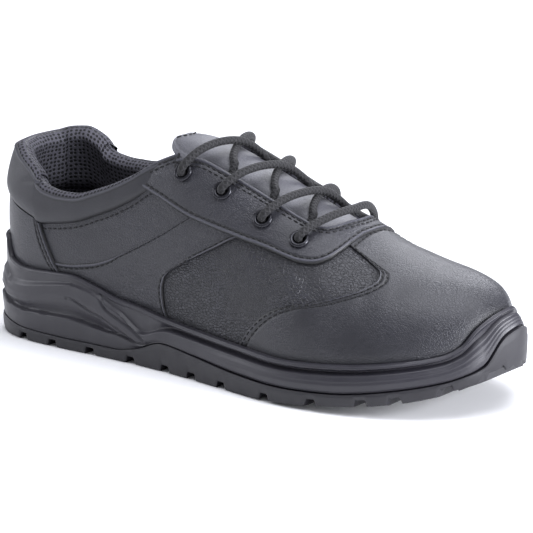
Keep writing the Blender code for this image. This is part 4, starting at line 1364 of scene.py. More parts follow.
@dataclass
class Stitching:
    """All the seams' stitches, gathered row by row and made as one mesh of short sunk capsules."""

    length: float = 2.5 * MM
    pitch: float = 3.4 * MM
    radius: float = 0.38 * MM
    rows: int = 0
    count: int = 0
    points: list = field(default_factory=list)
    faces: list = field(default_factory=list)
    running: list = field(default_factory=list)

    def sew(self, line: Array, normals: Array) -> None:
        """Adds a row of stitches along a line.

        Each stitch is a capsule: its radius at share t of its length is radius * sqrt(1 - (2t - 1)^4).

        Args:
            line: Points of the line.
            normals: Outward normals there.
        """
        run, _ = arc_from(line, 0)
        starts = np.arange(0.5 * self.pitch, run[-1] - self.length, self.pitch)
        if not len(starts):
            return
        a, b, up = (
            np.stack([np.interp(starts + share * self.length, run, values[:, i]) for i in range(3)], -1)
            for share, values in ((0, line), (1, line), (0.5, normals))
        )
        ahead = (b - a) / np.linalg.norm(b - a, axis=-1, keepdims=True)
        across = np.cross(up, ahead)
        across /= np.linalg.norm(across, axis=-1, keepdims=True)
        up = np.cross(ahead, across)
        t = np.array([0.0, 0.06, 0.22, 0.5, 0.78, 0.94, 1.0])
        radius = self.radius * np.sqrt(np.maximum(1 - (2 * t - 1) ** 4, 0.0))
        angle = np.linspace(0, 2 * math.pi, 8, endpoint=False)
        arch = 0.10 * MM * np.sin(math.pi * t)
        centre = a[:, None, :] + (t * self.length)[None, :, None] * ahead[:, None, :]
        centre = centre + (0.06 * MM + arch)[None, :, None] * up[:, None, :]
        ring = (
            np.cos(angle)[None, None, :, None] * across[:, None, None, :]
            + np.sin(angle)[None, None, :, None] * up[:, None, None, :]
        )
        points = centre[:, :, None, :] + ring * radius[None, :, None, None]
        many, rings, around = points.shape[:3]
        corner = np.arange(many * rings * around).reshape(many, rings, around)
        after = np.roll(corner, -1, axis=2)
        quads = np.stack([corner[:, :-1], after[:, :-1], after[:, 1:], corner[:, 1:]], -1).reshape(-1, 4)
        running = np.stack(
            [
                np.broadcast_to((t * self.length)[None, :, None], points.shape[:3]),
                np.broadcast_to((angle / (2 * math.pi))[None, None, :], points.shape[:3]),
            ],
            -1,
        )
        self.points.append(points.reshape(-1, 3))
        self.faces.append(quads + self.count)
        self.running.append(running.reshape(-1, 2))
        self.count += many * rings * around
        self.rows += 1

    def build(self, material: bpy.types.Material) -> bpy.types.Object:
        """Makes the mesh.

        Args:
            material: Its finish.

        Returns:
            The object.
        """
        return make_piece(
            "stitching",
            np.concatenate(self.points),
            np.concatenate(self.faces),
            material,
            uv=np.concatenate(self.running),
        )


def heel_wrap(across: Array, reach: float) -> tuple[Array, Array]:
    """Sides and sections of columns that run from the outer side round the heel to the inner one.

    Args:
        across: From -1 on the outer side over 0 at the back to 1.
        reach: The section at both ends.

    Returns:
        The sides and the sections.
    """
    return np.where(across < 0, OUTER, INNER), np.abs(across) * reach


@dataclass
class Upper:
    """The leather upper: lined shell, quarters, heel counter, vamp, eyestay and padded collar, with seams."""

    stitching: Stitching
    folded: Cut = Cut()
    plain: Cut = Cut(lift=0.5 * MM, roll=0.0, groove=0.12 * MM)
    thick: Cut = Cut(lift=2 * OVERLAY, radius=1.0 * MM, roll=0.35 * MM, roll_at=1.5 * MM, rows=(2.9 * MM,))
    strip: Cut = Cut(1.8 * OVERLAY, 0.9 * MM, 0.55 * MM, 1.4 * MM, 0.4 * MM, (2.9 * MM, 5.3 * MM))
    toe: Cut = Cut(lift=OVERLAY, roll=0.12 * MM, groove=0.40 * MM, rows=(1.9 * MM, 4.6 * MM))
    binding: float = 2.6 * MM
    leather_rows: int = 22
    crest_rows: int = 10

    def shell_patch(self, columns: int, rows: int, top_share: float = 1.0) -> Patch:
        """Whole wall of the upper, from the feather line to the top line, all round.

        Args:
            columns: Columns on each side.
            rows: Rows.
            top_share: How much of the way to the top line it goes.

        Returns:
            The patch.
        """
        stops, third = (0, CORNER, THROAT_END, TIP), columns // 3
        k = np.concatenate([np.linspace(a, b, third)[1 if a else 0 :] for a, b in zip(stops, stops[1:])])
        side = np.concatenate([np.full(len(k), OUTER), np.full(len(k), INNER)])
        k = np.concatenate([k, k[::-1]])
        t = np.linspace(0, 1, rows)[:, None]
        v = t * LAST_FORM.top(side, k) * top_share
        return Patch(side + 0 * t, k + 0 * t, v)

    def build_shell(self, leather: bpy.types.Material, mesh: bpy.types.Material) -> None:
        """Side leather and the lining behind it.

        Args:
            leather: Finish of the side panels.
            mesh: Finish of the lining.
        """
        sides = self.shell_patch(300, 50)
        add_panel("side_panels", sides, Cut(lift=0.0), leather, -1.1 * MM, "upper")
        lining = self.shell_patch(210, 36, 0.992)
        add_panel("lining", lining, Cut(lift=-1.15 * MM), mesh, -WALL, creased=False)

    def quarter_patch(self, side: float) -> Patch:
        """Lower quarter of one side, from under the heel counter to its front seam.

        Args:
            side: OUTER or INNER.

        Returns:
            The patch.
        """
        across = dense(110, 0.7)
        up = dense(76)[:, None]
        k = 2.0 + 3.0 * across + 0 * up
        for _ in range(8):
            low = LAST_FORM.rim(side, k, -2 * MM)
            band = LAST_FORM.at_height(side, k, table_curve(BAND_SEAM, k) * MM)
            high = np.minimum(band, table_curve(EYESTAY_EDGE, np.maximum(k, 4.4)) + 0.03)
            v = low + (high - low) * up
            k = 2.0 + (table_curve(QUARTER_SEAM, v) - 2.0) * across
        return Patch(side + 0 * k, k, v, bottom=Edge.SOLE, top=Edge.FREE, end=Edge.FREE)

    def band_patch(self, side: float) -> Patch:
        """Upper quarter of one side, between the band seam and the collar's seam.

        Args:
            side: OUTER or INNER.

        Returns:
            The patch.
        """
        k = 2.0 + 3.75 * np.linspace(0, 1, 100)
        up = np.linspace(0, 1, 30)[:, None]
        k = k + 0 * up
        low = LAST_FORM.at_height(side, k, table_curve(BAND_SEAM, k) * MM) - 0.03
        high = np.maximum(LAST_FORM.seam(side, k) + 0.015, low + 0.02)
        ceiling = np.where(k > CORNER, table_curve(EYESTAY_EDGE, k) + 0.04, 1.0)
        return Patch(side + 0 * k, k, np.minimum(low + (high - low) * up, ceiling))

    def counter_patch(self) -> Patch:
        """Heel counter, round the heel between the rim and the collar's seam.

        Returns:
            The patch.
        """
        across = 2 * dense(190, 0.6) - 1
        up = np.linspace(0, 1, 56)[:, None]
        side, k = heel_wrap(across + 0 * up, 2.6)
        for _ in range(8):
            low = LAST_FORM.rim(side, k, -2 * MM)
            high = LAST_FORM.seam(side, k) + 0.004
            v = low + (high - low) * up
            k = np.abs(across) * table_curve(COUNTER_EDGE, v)
        return Patch(side, k, v, bottom=Edge.SOLE, start=Edge.FREE, end=Edge.FREE)

    def vamp_patch(self) -> Patch:
        """Vamp and toe in one, from the toe seam over the crown line to the rim round the toe.

        Returns:
            The patch.
        """
        across = np.linspace(-1, 1, 191)[:, None]
        ahead = 1 - (1 - dense(120, 0.5)) ** 1.6
        side = np.where(across < 0, OUTER, INNER) + 0 * ahead
        spread = np.linspace(THROAT_END, TIP, 300)
        last = spread[LAST_FORM.rim(np.full(300, OUTER), spread, -1.5 * MM) < 0.97].max()
        k = 9 + 0 * side
        for _ in range(14):
            low = LAST_FORM.rim(side, k, -2 * MM)
            v = low + (1 - low) * (1 - np.abs(across))
            seam = table_curve(TOE_SEAM, v)
            k = seam + (last - seam) * ahead
        return Patch(side, k, v, bottom=Edge.SOLE, top=Edge.SOLE, start=Edge.FREE)

    def eyestay_patch(self) -> Patch:
        """U-shaped band round the throat, from collar to collar.

        Returns:
            The patch.
        """
        run = np.sin(np.linspace(-math.pi / 2, math.pi / 2, 321))
        start = EYESTAY_EDGE[0][0]
        side = np.where(run < 0, OUTER, INNER)
        near = 1 - np.abs(run)
        inner_k = start + (THROAT_END + 0.012 - start) * near
        outer_k = start + (EYESTAY_EDGE[-1][0] - start) * near
        inner_v = LAST_FORM.top(side, inner_k) * 0.995
        outer_v = table_curve(EYESTAY_EDGE, outer_k)
        inner_v[len(run) // 2] = outer_v[len(run) // 2] = 1
        t = dense(54, 0.75)[:, None]
        k = outer_k + (inner_k - outer_k) * t
        v = outer_v + (inner_v - outer_v) * t
        return Patch(side + 0 * t, k, v, bottom=Edge.FREE, top=Edge.FREE)

    def build_panels(
        self, smooth_hide: bpy.types.Material, grained: bpy.types.Material, toe: bpy.types.Material
    ) -> None:
        """Leather panels over the shell, with the stitches of their seams.

        Args:
            smooth_hide: Finish of the heel counter and the eyestay.
            grained: Finish of the quarters.
            toe: Finish of the vamp.
        """
        for label, side in (("outer", OUTER), ("inner", INNER)):
            band = self.band_patch(side)
            add_panel(f"quarter_band_{label}", band, self.plain, grained)
            self.stitching.sew(*band.along_edge("top", 4.2 * MM, self.plain))
            quarter = self.quarter_patch(side)
            add_panel(f"quarter_{label}", quarter, self.folded, grained)
            for edge in ("top", "end"):
                self.stitching.sew(*quarter.along_edge(edge, 2.5 * MM, self.folded))
            LOG.info("quarter_%s", label)
        counter = self.counter_patch()
        add_panel("heel_counter", counter, self.strip, smooth_hide)
        for edge in ("start", "end"):
            for inset in self.strip.rows:
                self.stitching.sew(*counter.along_edge(edge, inset, self.strip))
        vamp = self.vamp_patch()
        add_panel("vamp", vamp, self.toe, toe)
        for inset in self.toe.rows:
            line, normals = vamp.along_edge("start", inset, self.toe)
            middle = len(line) // 2
            self.stitching.sew(line[:middle], normals[:middle])
            self.stitching.sew(line[middle:][::-1], normals[middle:][::-1])
        eyestay = self.eyestay_patch()
        add_panel("eyestay", eyestay, self.thick, smooth_hide)
        self.stitching.sew(*eyestay.along_edge("bottom", 2.9 * MM, self.thick))
        for inset in (2.9 * MM, 4.9 * MM):
            self.stitching.sew(*eyestay.along_edge("top", inset, self.thick))
        LOG.info("counter, vamp and eyestay")

    def build_collar(self, leather: bpy.types.Material, mesh: bpy.types.Material) -> None:
        """Padded collar: leather outside up to a seam below the crest, spacer mesh over the crest and inside.

        At distance d from its foot and e from its crest the outside stands
        pad * sqrt(1 - (1 - d/9 mm)^2) * sqrt(1 - (1 - e/round)^2) over the last, and the inside is the
        same form turned inwards.

        Args:
            leather: Finish outside.
            mesh: Finish over the crest and inside.
        """
        across = np.linspace(-1, 1, 421)[:, None]
        side, k = heel_wrap(across, CORNER)
        top, seam = LAST_FORM.top(side, k), LAST_FORM.seam(side, k)
        pad = table_curve(COLLAR_SEAM, k, 2)
        tall = np.linalg.norm(LAST_FORM.point(side, k, top) - LAST_FORM.point(side, k, seam), axis=-1)
        split = 1 - np.clip(self.binding / tall, 0, 0.35)
        rows = self.leather_rows
        crest = np.linspace(0, 1, self.crest_rows + 1)[1:]
        low_part = split * (1 - (1 - np.linspace(0, 1, rows)) ** 1.5)
        t = np.concatenate([low_part, split + (1 - split) * crest], 1)
        faces = {}
        for sign, foot_share in ((1, 1.0), (-1, 0.86)):
            v = seam * foot_share + (top - seam * foot_share) * t
            points, normals = LAST_FORM.point(side, k, v), LAST_FORM.normal(side, k, v)
            run, left = arc_from(points, 1)
            foot = np.sqrt(1 - (1 - np.clip(run / (9 * MM), 0, 1)) ** 2)
            round_off = np.sqrt(1 - (1 - np.clip(left / ((1.2 + 2.6 * pad) * MM), 0, 1)) ** 2)
            if sign > 0:
                lift = foot * round_off * (0.6 * MM + COLLAR_PAD * pad) + relief(points)
            else:
                lift = -0.9 * MM - foot * round_off * (WALL - 0.4 * MM + 1.3 * COLLAR_PAD * pad)
            faces[sign] = (points, normals, lift, left)
        points, normals, lift, left = faces[1]
        away = (left - left[:, rows - 1 : rows])[:, :rows]
        edge = np.sqrt(1 - (1 - np.clip(away / (0.6 * MM), 0, 1)) ** 2)
        bead = 0.5 * MM * np.exp(-(((away - 0.9 * MM) / (0.5 * MM)) ** 2))
        skin = points[:, :rows] + normals[:, :rows] * (lift[:, :rows] + 0.25 * MM * edge + bead)[..., None]
        core = points[:, :rows] - 0.3 * MM * normals[:, :rows]
        hem = arc_from(points, 1)[0][:, :rows]
        near = np.zeros(away.shape)
        for far, gain, middle, width in (
            # distance, gain (paler above zero: rubbing and painted highlight; darker below: edge paint and
            # painted shade), its place and width in millimetres
            # paler line on the bead: rubbing and painted highlight
            (away, 0.8, 1.0, 0.5),
            (away, -0.3, 0.0, 0.4),
            (away, -0.7, 2.1, 0.35),
            # painted shadow line along the collar's foot
            (hem, -1.2, 0.0, 0.9),
        ):
            near += gain * np.exp(-(((far - middle * MM) / (width * MM)) ** 2))
        self.pad_piece("collar_roll_outer", skin, core, near, leather)
        inner = faces[-1]
        top_lift = lift[:, rows - 1 :] - 0.25 * MM
        outside = points[:, rows - 1 :] + normals[:, rows - 1 :] * top_lift[..., None]
        inside = (inner[0] + inner[1] * inner[2][..., None])[:, ::-1]
        skin = np.concatenate([outside, inside], 1)
        low = points[:, rows - 1 :] - 0.45 * MM * normals[:, rows - 1 :]
        core = np.concatenate([low, (inner[0] - 0.7 * MM * inner[1])[:, ::-1]], 1)
        self.pad_piece("collar_roll_inner", skin, core, np.zeros(skin.shape[:2]), mesh)
        LOG.info("collar")

    def pad_piece(
        self, name: str, skin: Array, core: Array, near: Array, material: bpy.types.Material
    ) -> None:
        """One part of the collar's padding, closed between its face and its core.

        Args:
            name: Its name.
            skin: Grid of its face.
            core: Grid of its back.
            near: Colour mark of each point: rubbing with painted highlight above zero, edge paint with
            painted shade below.
            material: Its finish.
        """
        round_it = arc_from(skin, 0)[0]
        along = np.broadcast_to(round_it[:, skin.shape[1] // 3][:, None], skin.shape[:2])
        uv = np.stack([along, arc_from(skin, 1)[0]], -1)
        make_slab(name, skin, core, near, uv, material)


def spot(x: float, gap: float, lift: float) -> tuple[Array, Array]:
    """Point over the last at x and its normal, at a signed gap from the crown line as on the outer side.

    Args:
        x: Distance from the back of the heel.
        gap: Distance from the crown line, below zero on the outer side.
        lift: Height over the last.

    Returns:
        The point and the normal.
    """
    k = LAST_FORM.section(x)
    side = OUTER if gap < 0 else INNER
    reach = abs(gap) * (1 if gap < 0 else FAR_SHARE)
    v = LAST_FORM.at_gap(side, np.array(k), np.array(reach))
    normal = LAST_FORM.normal(np.array(side), np.array(k), v)
    return LAST_FORM.point(side, k, v) + lift * normal, normal


@dataclass
class Eyelets:
    """Eight turned rings with a rolled flange and a barrel through the leather."""

    outer: float = EYELET_OUTER / 2
    bore: float = EYELET_BORE / 2
    around: int = 44

    def frames(self) -> list[tuple[str, Array, Array]]:
        """Name, place and normal of each.

        Returns:
            The frames.
        """
        found = []
        for label, side in (("near", OUTER), ("far", INNER)):
            for i, (along, gap) in enumerate(EYELETS):
                place, normal = spot(along * LENGTH, side * gap * BALL_WIDTH, 2 * OVERLAY)
                found.append((f"eyelet_{label}_{i + 1}", place, normal))
        return found

    def circle(self, normal: Array, count: int) -> Array:
        """Unit circle of points about a normal.

        Args:
            normal: The normal.
            count: How many points.

        Returns:
            The points.
        """
        across = np.cross(normal, [1.0, 0.0, 0.0])
        across /= np.linalg.norm(across)
        angle = np.linspace(0, 2 * math.pi, count, endpoint=False)[:, None]
        return np.cos(angle) * across + np.sin(angle) * np.cross(normal, across)

    def cutter(self, around: int = 24) -> bpy.types.Object:
        """One mesh of eight closed rods that cuts their holes.

        Args:
            around: Points round each rod.

        Returns:
            The hidden cutter.
        """
        points, faces = [], []
        corner = np.arange(around)
        after = np.roll(corner, -1)
        for index, (_, place, normal) in enumerate(self.frames()):
            ring = place + self.circle(normal, around) * (self.bore + 0.5 * MM)
            base = index * 2 * around
            points += [ring + 8 * MM * normal, ring - 9 * MM * normal]
            faces += (np.stack([corner, corner + around, after + around, after], -1) + base).tolist()
            faces += [(corner + base).tolist(), (corner[::-1] + around + base).tolist()]
        mesh = bpy.data.meshes.new("eyelet_holes")
        mesh.from_pydata(np.concatenate(points).tolist(), [], faces)
        item = bpy.data.objects.new("eyelet_holes", mesh)
        bpy.context.scene.collection.objects.link(item)
        return item

    def pierce(self, names: Sequence[str]) -> None:
        """Cuts the holes through panels.

        Args:
            names: Names of the panels.
        """
        cutter = self.cutter()
        for name in names:
            item = bpy.data.objects[name]
            modifier = item.modifiers.new("Holes", "BOOLEAN")
            modifier.operation = "DIFFERENCE"
            modifier.object = cutter
            modifier.solver = "EXACT"
            mesh = bpy.data.meshes.new_from_object(item.evaluated_get(bpy.context.evaluated_depsgraph_get()))
            item.modifiers.clear()
            if len(mesh.polygons) > 0.6 * len(item.data.polygons):
                item.data = mesh
            LOG.info("%s: %d faces after its holes", name, len(item.data.polygons))
        bpy.data.objects.remove(cutter)

    def build(self, material: bpy.types.Material) -> None:
        """Makes the rings: a profile turned about each normal.

        Args:
            material: Their finish.
        """
        bore, outer, tall = self.bore, self.outer, EYELET_HEIGHT
        turn = np.linspace(0, math.pi, 11)
        middle, half = (bore + outer) / 2, (outer - bore) / 2
        crown = [(middle - half * math.cos(a), 0.35 * tall + 0.65 * tall * math.sin(a)) for a in turn]
        foot = -(2 * OVERLAY + WALL + 0.6 * MM)
        tail = [(outer, 0.1 * MM), (bore + 0.4 * MM, 0.1 * MM), (bore + 0.4 * MM, foot), (bore, foot)]
        profile = np.array(crown + tail)
        corner = np.arange(len(profile) * self.around).reshape(len(profile), self.around)
        after = np.roll(corner, -1, axis=1)
        below, below_after = np.roll(corner, -1, axis=0), np.roll(after, -1, axis=0)
        faces = np.stack([corner, after, below_after, below], -1).reshape(-1, 4)
        for name, place, normal in self.frames():
            ring = self.circle(normal, self.around)
            points = place + profile[:, 0, None, None] * ring + profile[:, 1, None, None] * normal
            make_piece(f"{name}_ring", points, faces, material, name)


@dataclass
class Lace:
    """One round braided lace, run through the eyelets from end to end."""

    radius: float = LACE_DIAMETER / 2
    around: int = 20
    per_point: int = 9

    def crossing(self, table: Sequence[tuple], row: int, side: float) -> list[Array]:
        """Points of a run from one row of eyelets to the next.

        Args:
            table: The run's table.
            row: The row that it starts at.
            side: OUTER or INNER, where it starts.

        Returns:
            The points.
        """
        first, second = EYELETS[row], EYELETS[row + 1]
        route = []
        for way, gap, lift in table:
            x = LENGTH * (first[0] + (second[0] - first[0]) * way)
            reach = BALL_WIDTH * (first[1] + (second[1] - first[1]) * way)
            route.append(spot(x, -side * gap * reach, 2 * OVERLAY + lift * LACE_DIAMETER)[0])
        return route

    def bar(self) -> list[Array]:
        """Points of the lowest run, straight across between the last two eyelets.

        Returns:
            The points.
        """
        before, last = EYELETS[-2], EYELETS[-1]
        route = []
        for way, gap, lift in LACE_BAR:
            x = LENGTH * (last[0] + (last[0] - before[0]) * way)
            route.append(spot(x, gap * last[1] * BALL_WIDTH, 2 * OVERLAY + lift * LACE_DIAMETER)[0])
        return route

    def route(self) -> Array:
        """The whole way of the lace: down from the outer top eyelet to the bar and back up.

        Returns:
            Its points.
        """
        over, under = LACE_OVER, LACE_UNDER
        runs = [
            self.crossing(over, 0, OUTER),
            self.crossing(under, 1, INNER),
            self.crossing(over, 2, OUTER),
            self.bar()[::-1],
            self.crossing(under, 2, INNER)[::-1],
            self.crossing(over, 1, OUTER)[::-1],
            self.crossing(under, 0, INNER)[::-1],
        ]
        return np.array([point for run in runs for point in run])

    def build(self, material: bpy.types.Material) -> bpy.types.Object:
        """Makes the lace as a tube along its route.

        Args:
            material: Its finish.

        Returns:
            The object.
        """
        route = self.route()
        at = np.linspace(0, len(route) - 1, self.per_point * (len(route) - 1) + 1)
        line = np.stack([natural_curve(route[:, i], at) for i in range(3)], 1)
        tangent = np.gradient(line, axis=0)
        tangent /= np.linalg.norm(tangent, axis=1)[:, None]
        frame_side = np.empty_like(line)
        previous = np.cross(tangent[0], [0.0, 0.0, 1.0])
        for i, ahead in enumerate(tangent):
            previous = previous - ahead * (previous @ ahead)
            previous /= np.linalg.norm(previous)
            frame_side[i] = previous
        other = np.cross(tangent, frame_side)
        angle = np.linspace(0, 2 * math.pi, self.around + 1)
        turn = angle[None, :, None]
        ring = np.cos(turn) * frame_side[:, None] + np.sin(turn) * other[:, None]
        points = line[:, None, :] + self.radius * ring
        run, _ = arc_from(line, 0)
        uv = np.stack(np.broadcast_arrays(run[:, None], angle[None, :] / (2 * math.pi)), -1)
        rows, columns = points.shape[:2]
        faces = grid_quads(rows, columns).tolist()
        size = rows * columns
        points = np.vstack([points.reshape(-1, 3), line[:1], line[-1:]])
        uv = np.vstack([uv.reshape(-1, 2), [[0, 0], [run[-1], 0]]])
        for tip, base in ((size, 0), (size + 1, size - columns)):
            faces += [[tip, base + i, base + i + 1] for i in range(columns - 1)]
        nodes = ["lace_cross_1", "lace_cross_2", "lace_cross_3", "lace_bar"]
        item = make_piece("lace", points, faces, material, nodes, uv=uv)
        LOG.info("lace, %.0f mm long", run[-1] / MM)
        return item


@dataclass
class Tongue:
    """Padded leather tongue under the throat, with a bound edge and a row of stitches inside it."""

    half: float = TONGUE_THICKNESS / 2
    rounding: float = 2.4 * MM
    sink: float = 2.6 * MM
    swell: float = 0.7 * MM
    groove: float = 0.35 * MM
    seam: float = 5 * MM

    def patch(self) -> Patch:
        """Where it lies: across from the outer to the inner edge, along from its tip to its foot.

        Returns:
            The patch.
        """
        k = TONGUE[0][0] + (TONGUE[-1][0] - TONGUE[0][0]) * dense(110, 0.6)
        half = BALL_WIDTH * table_curve(TONGUE, k)
        across = (2 * dense(60, 0.6) - 1)[:, None]
        side = np.where(across < 0, OUTER, INNER) + 0 * k
        v = LAST_FORM.at_gap(side, k + 0 * side, np.abs(across) * half)
        return Patch(side, k + 0 * side, v, Edge.FREE, Edge.FREE, Edge.FREE, Edge.TUCKED)

    def build(self, leather: bpy.types.Material, stitching: Stitching) -> bpy.types.Object:
        """Makes it as a closed pad: its face swells in the middle and sinks under the eyestay, and its edge
        is a half circle.

        Args:
            leather: Its finish.
            stitching: The shoe's stitches.

        Returns:
            The object.
        """
        patch = self.patch()
        points, normals = patch.skin()
        half = self.half
        away = np.minimum.reduce([d for kind, d in patch.edges(points) if kind is Edge.FREE])
        round_off = np.sqrt(1 - (1 - np.clip(away / self.rounding, 0, 1)) ** 2)
        gap = np.abs(points[..., 1] - points[len(points) // 2, :, 1]) / BALL_WIDTH
        sink = self.sink * smooth((gap - 0.12) / 0.08) * smooth((patch.k - 4.9) / 0.4)
        swell = self.swell * (1 - smooth(away / (16 * MM))) - 0.5 * MM
        groove = self.groove * np.exp(-(((away - self.seam) / (0.8 * MM)) ** 2))
        centre = -(WALL + TONGUE_GAP + half) - sink
        face = points + normals * (centre + (half - swell) * round_off - groove)[..., None]
        back = points + normals * (centre - half * round_off)[..., None]
        # Paler towards the rounded edge: rubbing and painted highlight.
        near = np.exp(-((away / (2 * MM)) ** 2))
        uv = running_lengths(points)
        piece = make_slab("tongue_pad", face, back, near, uv, leather, "tongue")
        for edge in ("bottom", "top", "start"):
            line, normal = patch.along_edge(edge, self.seam, Cut(lift=0.0, roll=0.0, groove=0.0))
            lower = centre.min(axis=0) if edge != "start" else centre[:, 0]
            depth = np.median(lower) + half + 0.1 * MM
            stitching.sew((line + normal * depth)[8:-8], normal[8:-8])
        LOG.info("tongue")
        return piece


def plan_loop(inset: Array, height: Height, steps: int, above: float = 0.0) -> Array:
    """Loop round the sole at an inset from its widest line.

    Args:
        inset: The inset, one number or one for each point.
        height: A number, numbers, or a function of x.
        steps: Steps along each side.
        above: Added to the height.

    Returns:
        The loop's points, in the row's frame.
    """
    plan, out, _ = outline_points(steps)
    inner = plan - out * np.broadcast_to(inset, len(plan))[:, None]
    up = height(inner[:, 0]) if callable(height) else np.broadcast_to(height, len(plan))
    return np.column_stack([inner, up + above]) + SHIFT


def ring_faces(loops: int, around: int, caps: tuple[bool, bool] = (True, True)) -> list:
    """Faces of a closed ring of loops, with flat ends that pair each point with the one across.

    Args:
        loops: How many loops.
        around: Points in each.
        caps: Whether the first and the last loop are closed off.

    Returns:
        Lists of corners.
    """
    corner = np.arange(loops * around).reshape(loops, around)
    after = np.roll(corner, -1, axis=1)
    faces = np.stack([corner[:-1], after[:-1], after[1:], corner[1:]], -1).reshape(-1, 4).tolist()
    for wanted, base in zip(caps, (0, (loops - 1) * around)):
        if wanted:
            i = np.arange(1, around // 2 - 1)
            pairs = np.stack([i, i + 1, around - i - 1, around - i], -1) + base
            faces += pairs.tolist()
            tip = base + around // 2
            faces += [[base, base + 1, base + around - 1], [tip - 1, tip, tip + 1]]
    return faces


def plate_height(x: Array) -> Array:
    """Top of the outsole inside its lip.

    Args:
        x: Distance from the back of the heel.

    Returns:
        The heights.
    """
    return np.minimum(sole_height("line", x) - LIP_STEP, sole_height("bed", x) - BED_DEPTH)


@dataclass
class Midsole:
    """Moulded cup: bright rim lip, dark groove under it, heel wing, recessed band and the diagonal strap."""

    steps: int = 540
    rows: int = 70
    line_width: float = 0.5 * MM
    line_depth: float = 0.7 * MM
    bead: float = 0.6 * MM

    def side_inset(self, share: Array, x: Array) -> Array:
        """Inset of the side wall: soft steps between the lines of the relief's table.

        Args:
            share: Share of the height, one row for each.
            x: Distance from the back of the heel, one column for each.

        Returns:
            The insets.
        """
        heights = [table_curve(RELIEF, x / LENGTH, column) for column in range(1, 15, 2)]
        insets = [table_curve(RELIEF, x / LENGTH, column) for column in range(2, 16, 2)]
        heights = [0 * x, *heights, 0 * x + 1]
        insets = [insets[0] + 0.14, *insets, insets[-1] + 0.05]
        found = np.zeros(np.broadcast(share, x).shape)
        for i in range(len(heights) - 1):
            t = (share - heights[i]) / np.maximum(heights[i + 1] - heights[i], 1e-6)
            part = insets[i] + (insets[i + 1] - insets[i]) * smooth(t)
            found = np.where((share >= heights[i]) & (share <= heights[i + 1]), part, found)
        return found * FEATHER_INSET

    def moulded(self, run: Array, height: Array, edge: tuple[Array, Array]) -> Array:
        """Depth of the lines moulded into the side: depth * exp(-(d/width)^2) at distance d from a line.

        Args:
            run: Distance along the sole's edge from the back.
            height: Height over the floor.
            edge: Places x along the outer side, and the run at each.

        Returns:
            The depths.
        """
        found = np.zeros(np.broadcast(run, height).shape)
        for line in MOULDED_LINES:
            places = np.array([(np.interp(x * MM, *edge), z * MM) for x, z in line])
            at = np.linspace(0, len(places) - 1, 40)
            curve = np.stack([natural_curve(places[:, i], at) for i in (0, 1)], 1)
            far = np.full(found.shape, np.inf)
            for (a, b), (c, d) in zip(curve[:-1], curve[1:]):
                square = (c - a) ** 2 + (d - b) ** 2
                t = np.clip(((run - a) * (c - a) + (height - b) * (d - b)) / square, 0, 1)
                far = np.minimum(far, np.hypot(run - a - t * (c - a), height - b - t * (d - b)))
            found = np.maximum(found, self.line_depth * np.exp(-((far / self.line_width) ** 2)))
        return found

    def lip_inset(self, share: float) -> Array:
        """Inset at which the cup's wall comes within LIP_GAP of the upper, at a share from bed to rim.

        Args:
            share: 0 at the bed, 1 at the rim.

        Returns:
            The inset at each point of the loop.
        """
        plan, out, _ = outline_points(self.steps)
        k = np.linspace(0, TIP, 700)
        lines = []
        for side in (OUTER, INNER):
            foot = LAST_FORM.point(side, k, 0.0) - SHIFT
            bed, rim = sole_height("bed", foot[:, 0]), sole_height("rim", foot[:, 0])
            v = LAST_FORM.at_height(side, k, bed + share * (rim - bed))
            keep = v < 0.96
            lines.append((LAST_FORM.point(side, k, v) - SHIFT)[keep][:, :2])
        ring = np.vstack([lines[0], lines[1][::-1]])
        found = ray_reach(plan, -out, ring)
        return np.minimum(np.where(np.isfinite(found), found, MOST_LIP) - LIP_GAP, MOST_LIP)

    def build(self, material: bpy.types.Material) -> bpy.types.Object:
        """Makes the midsole.

        Args:
            material: Its finish.

        Returns:
            The object.
        """
        plan, out, run = outline_points(self.steps)
        x = plan[:, 0]
        foot = sole_height("line", x) + 0.15 * MM
        bed, rim = sole_height("bed", x), sole_height("rim", x)
        share = np.linspace(0, 1, self.rows)[:, None]
        height = foot + share * (rim - foot)
        inset = self.side_inset(share, x[None, :])
        inset = inset + self.moulded(run[None, :], height, (x[: self.steps], run[: self.steps]))
        inset = inset - self.bead * np.exp(-(((rim - height - 1.0 * MM) / (0.8 * MM)) ** 2))
        wall = plan - out * inset[..., None]
        loops = [plan_loop(LIP_WALL + GAP, plate_height, self.steps, GAP)]
        loops.append(plan_loop(LIP_WALL + GAP, foot, self.steps))
        loops += list(np.concatenate([wall, height[..., None]], -1) + SHIFT)
        top = self.lip_inset(1.0)
        crest = np.maximum((inset[-1] + top) / 2, inset[-1])
        loops.append(plan_loop(crest, rim + 0.25 * MM, self.steps))
        loops.append(plan_loop(np.maximum(top, inset[-1] + 0.3 * MM), rim, self.steps))
        for part in (0.66, 0.33):
            loops.append(plan_loop(self.lip_inset(part), bed + part * (rim - bed), self.steps))
        loops.append(plan_loop(FEATHER_INSET - LIP_GAP, partial(sole_height, "bed"), self.steps))
        points = np.array(loops)
        faces = ring_faces(*points.shape[:2])
        return make_piece("midsole_cup", points, faces, material, "midsole")


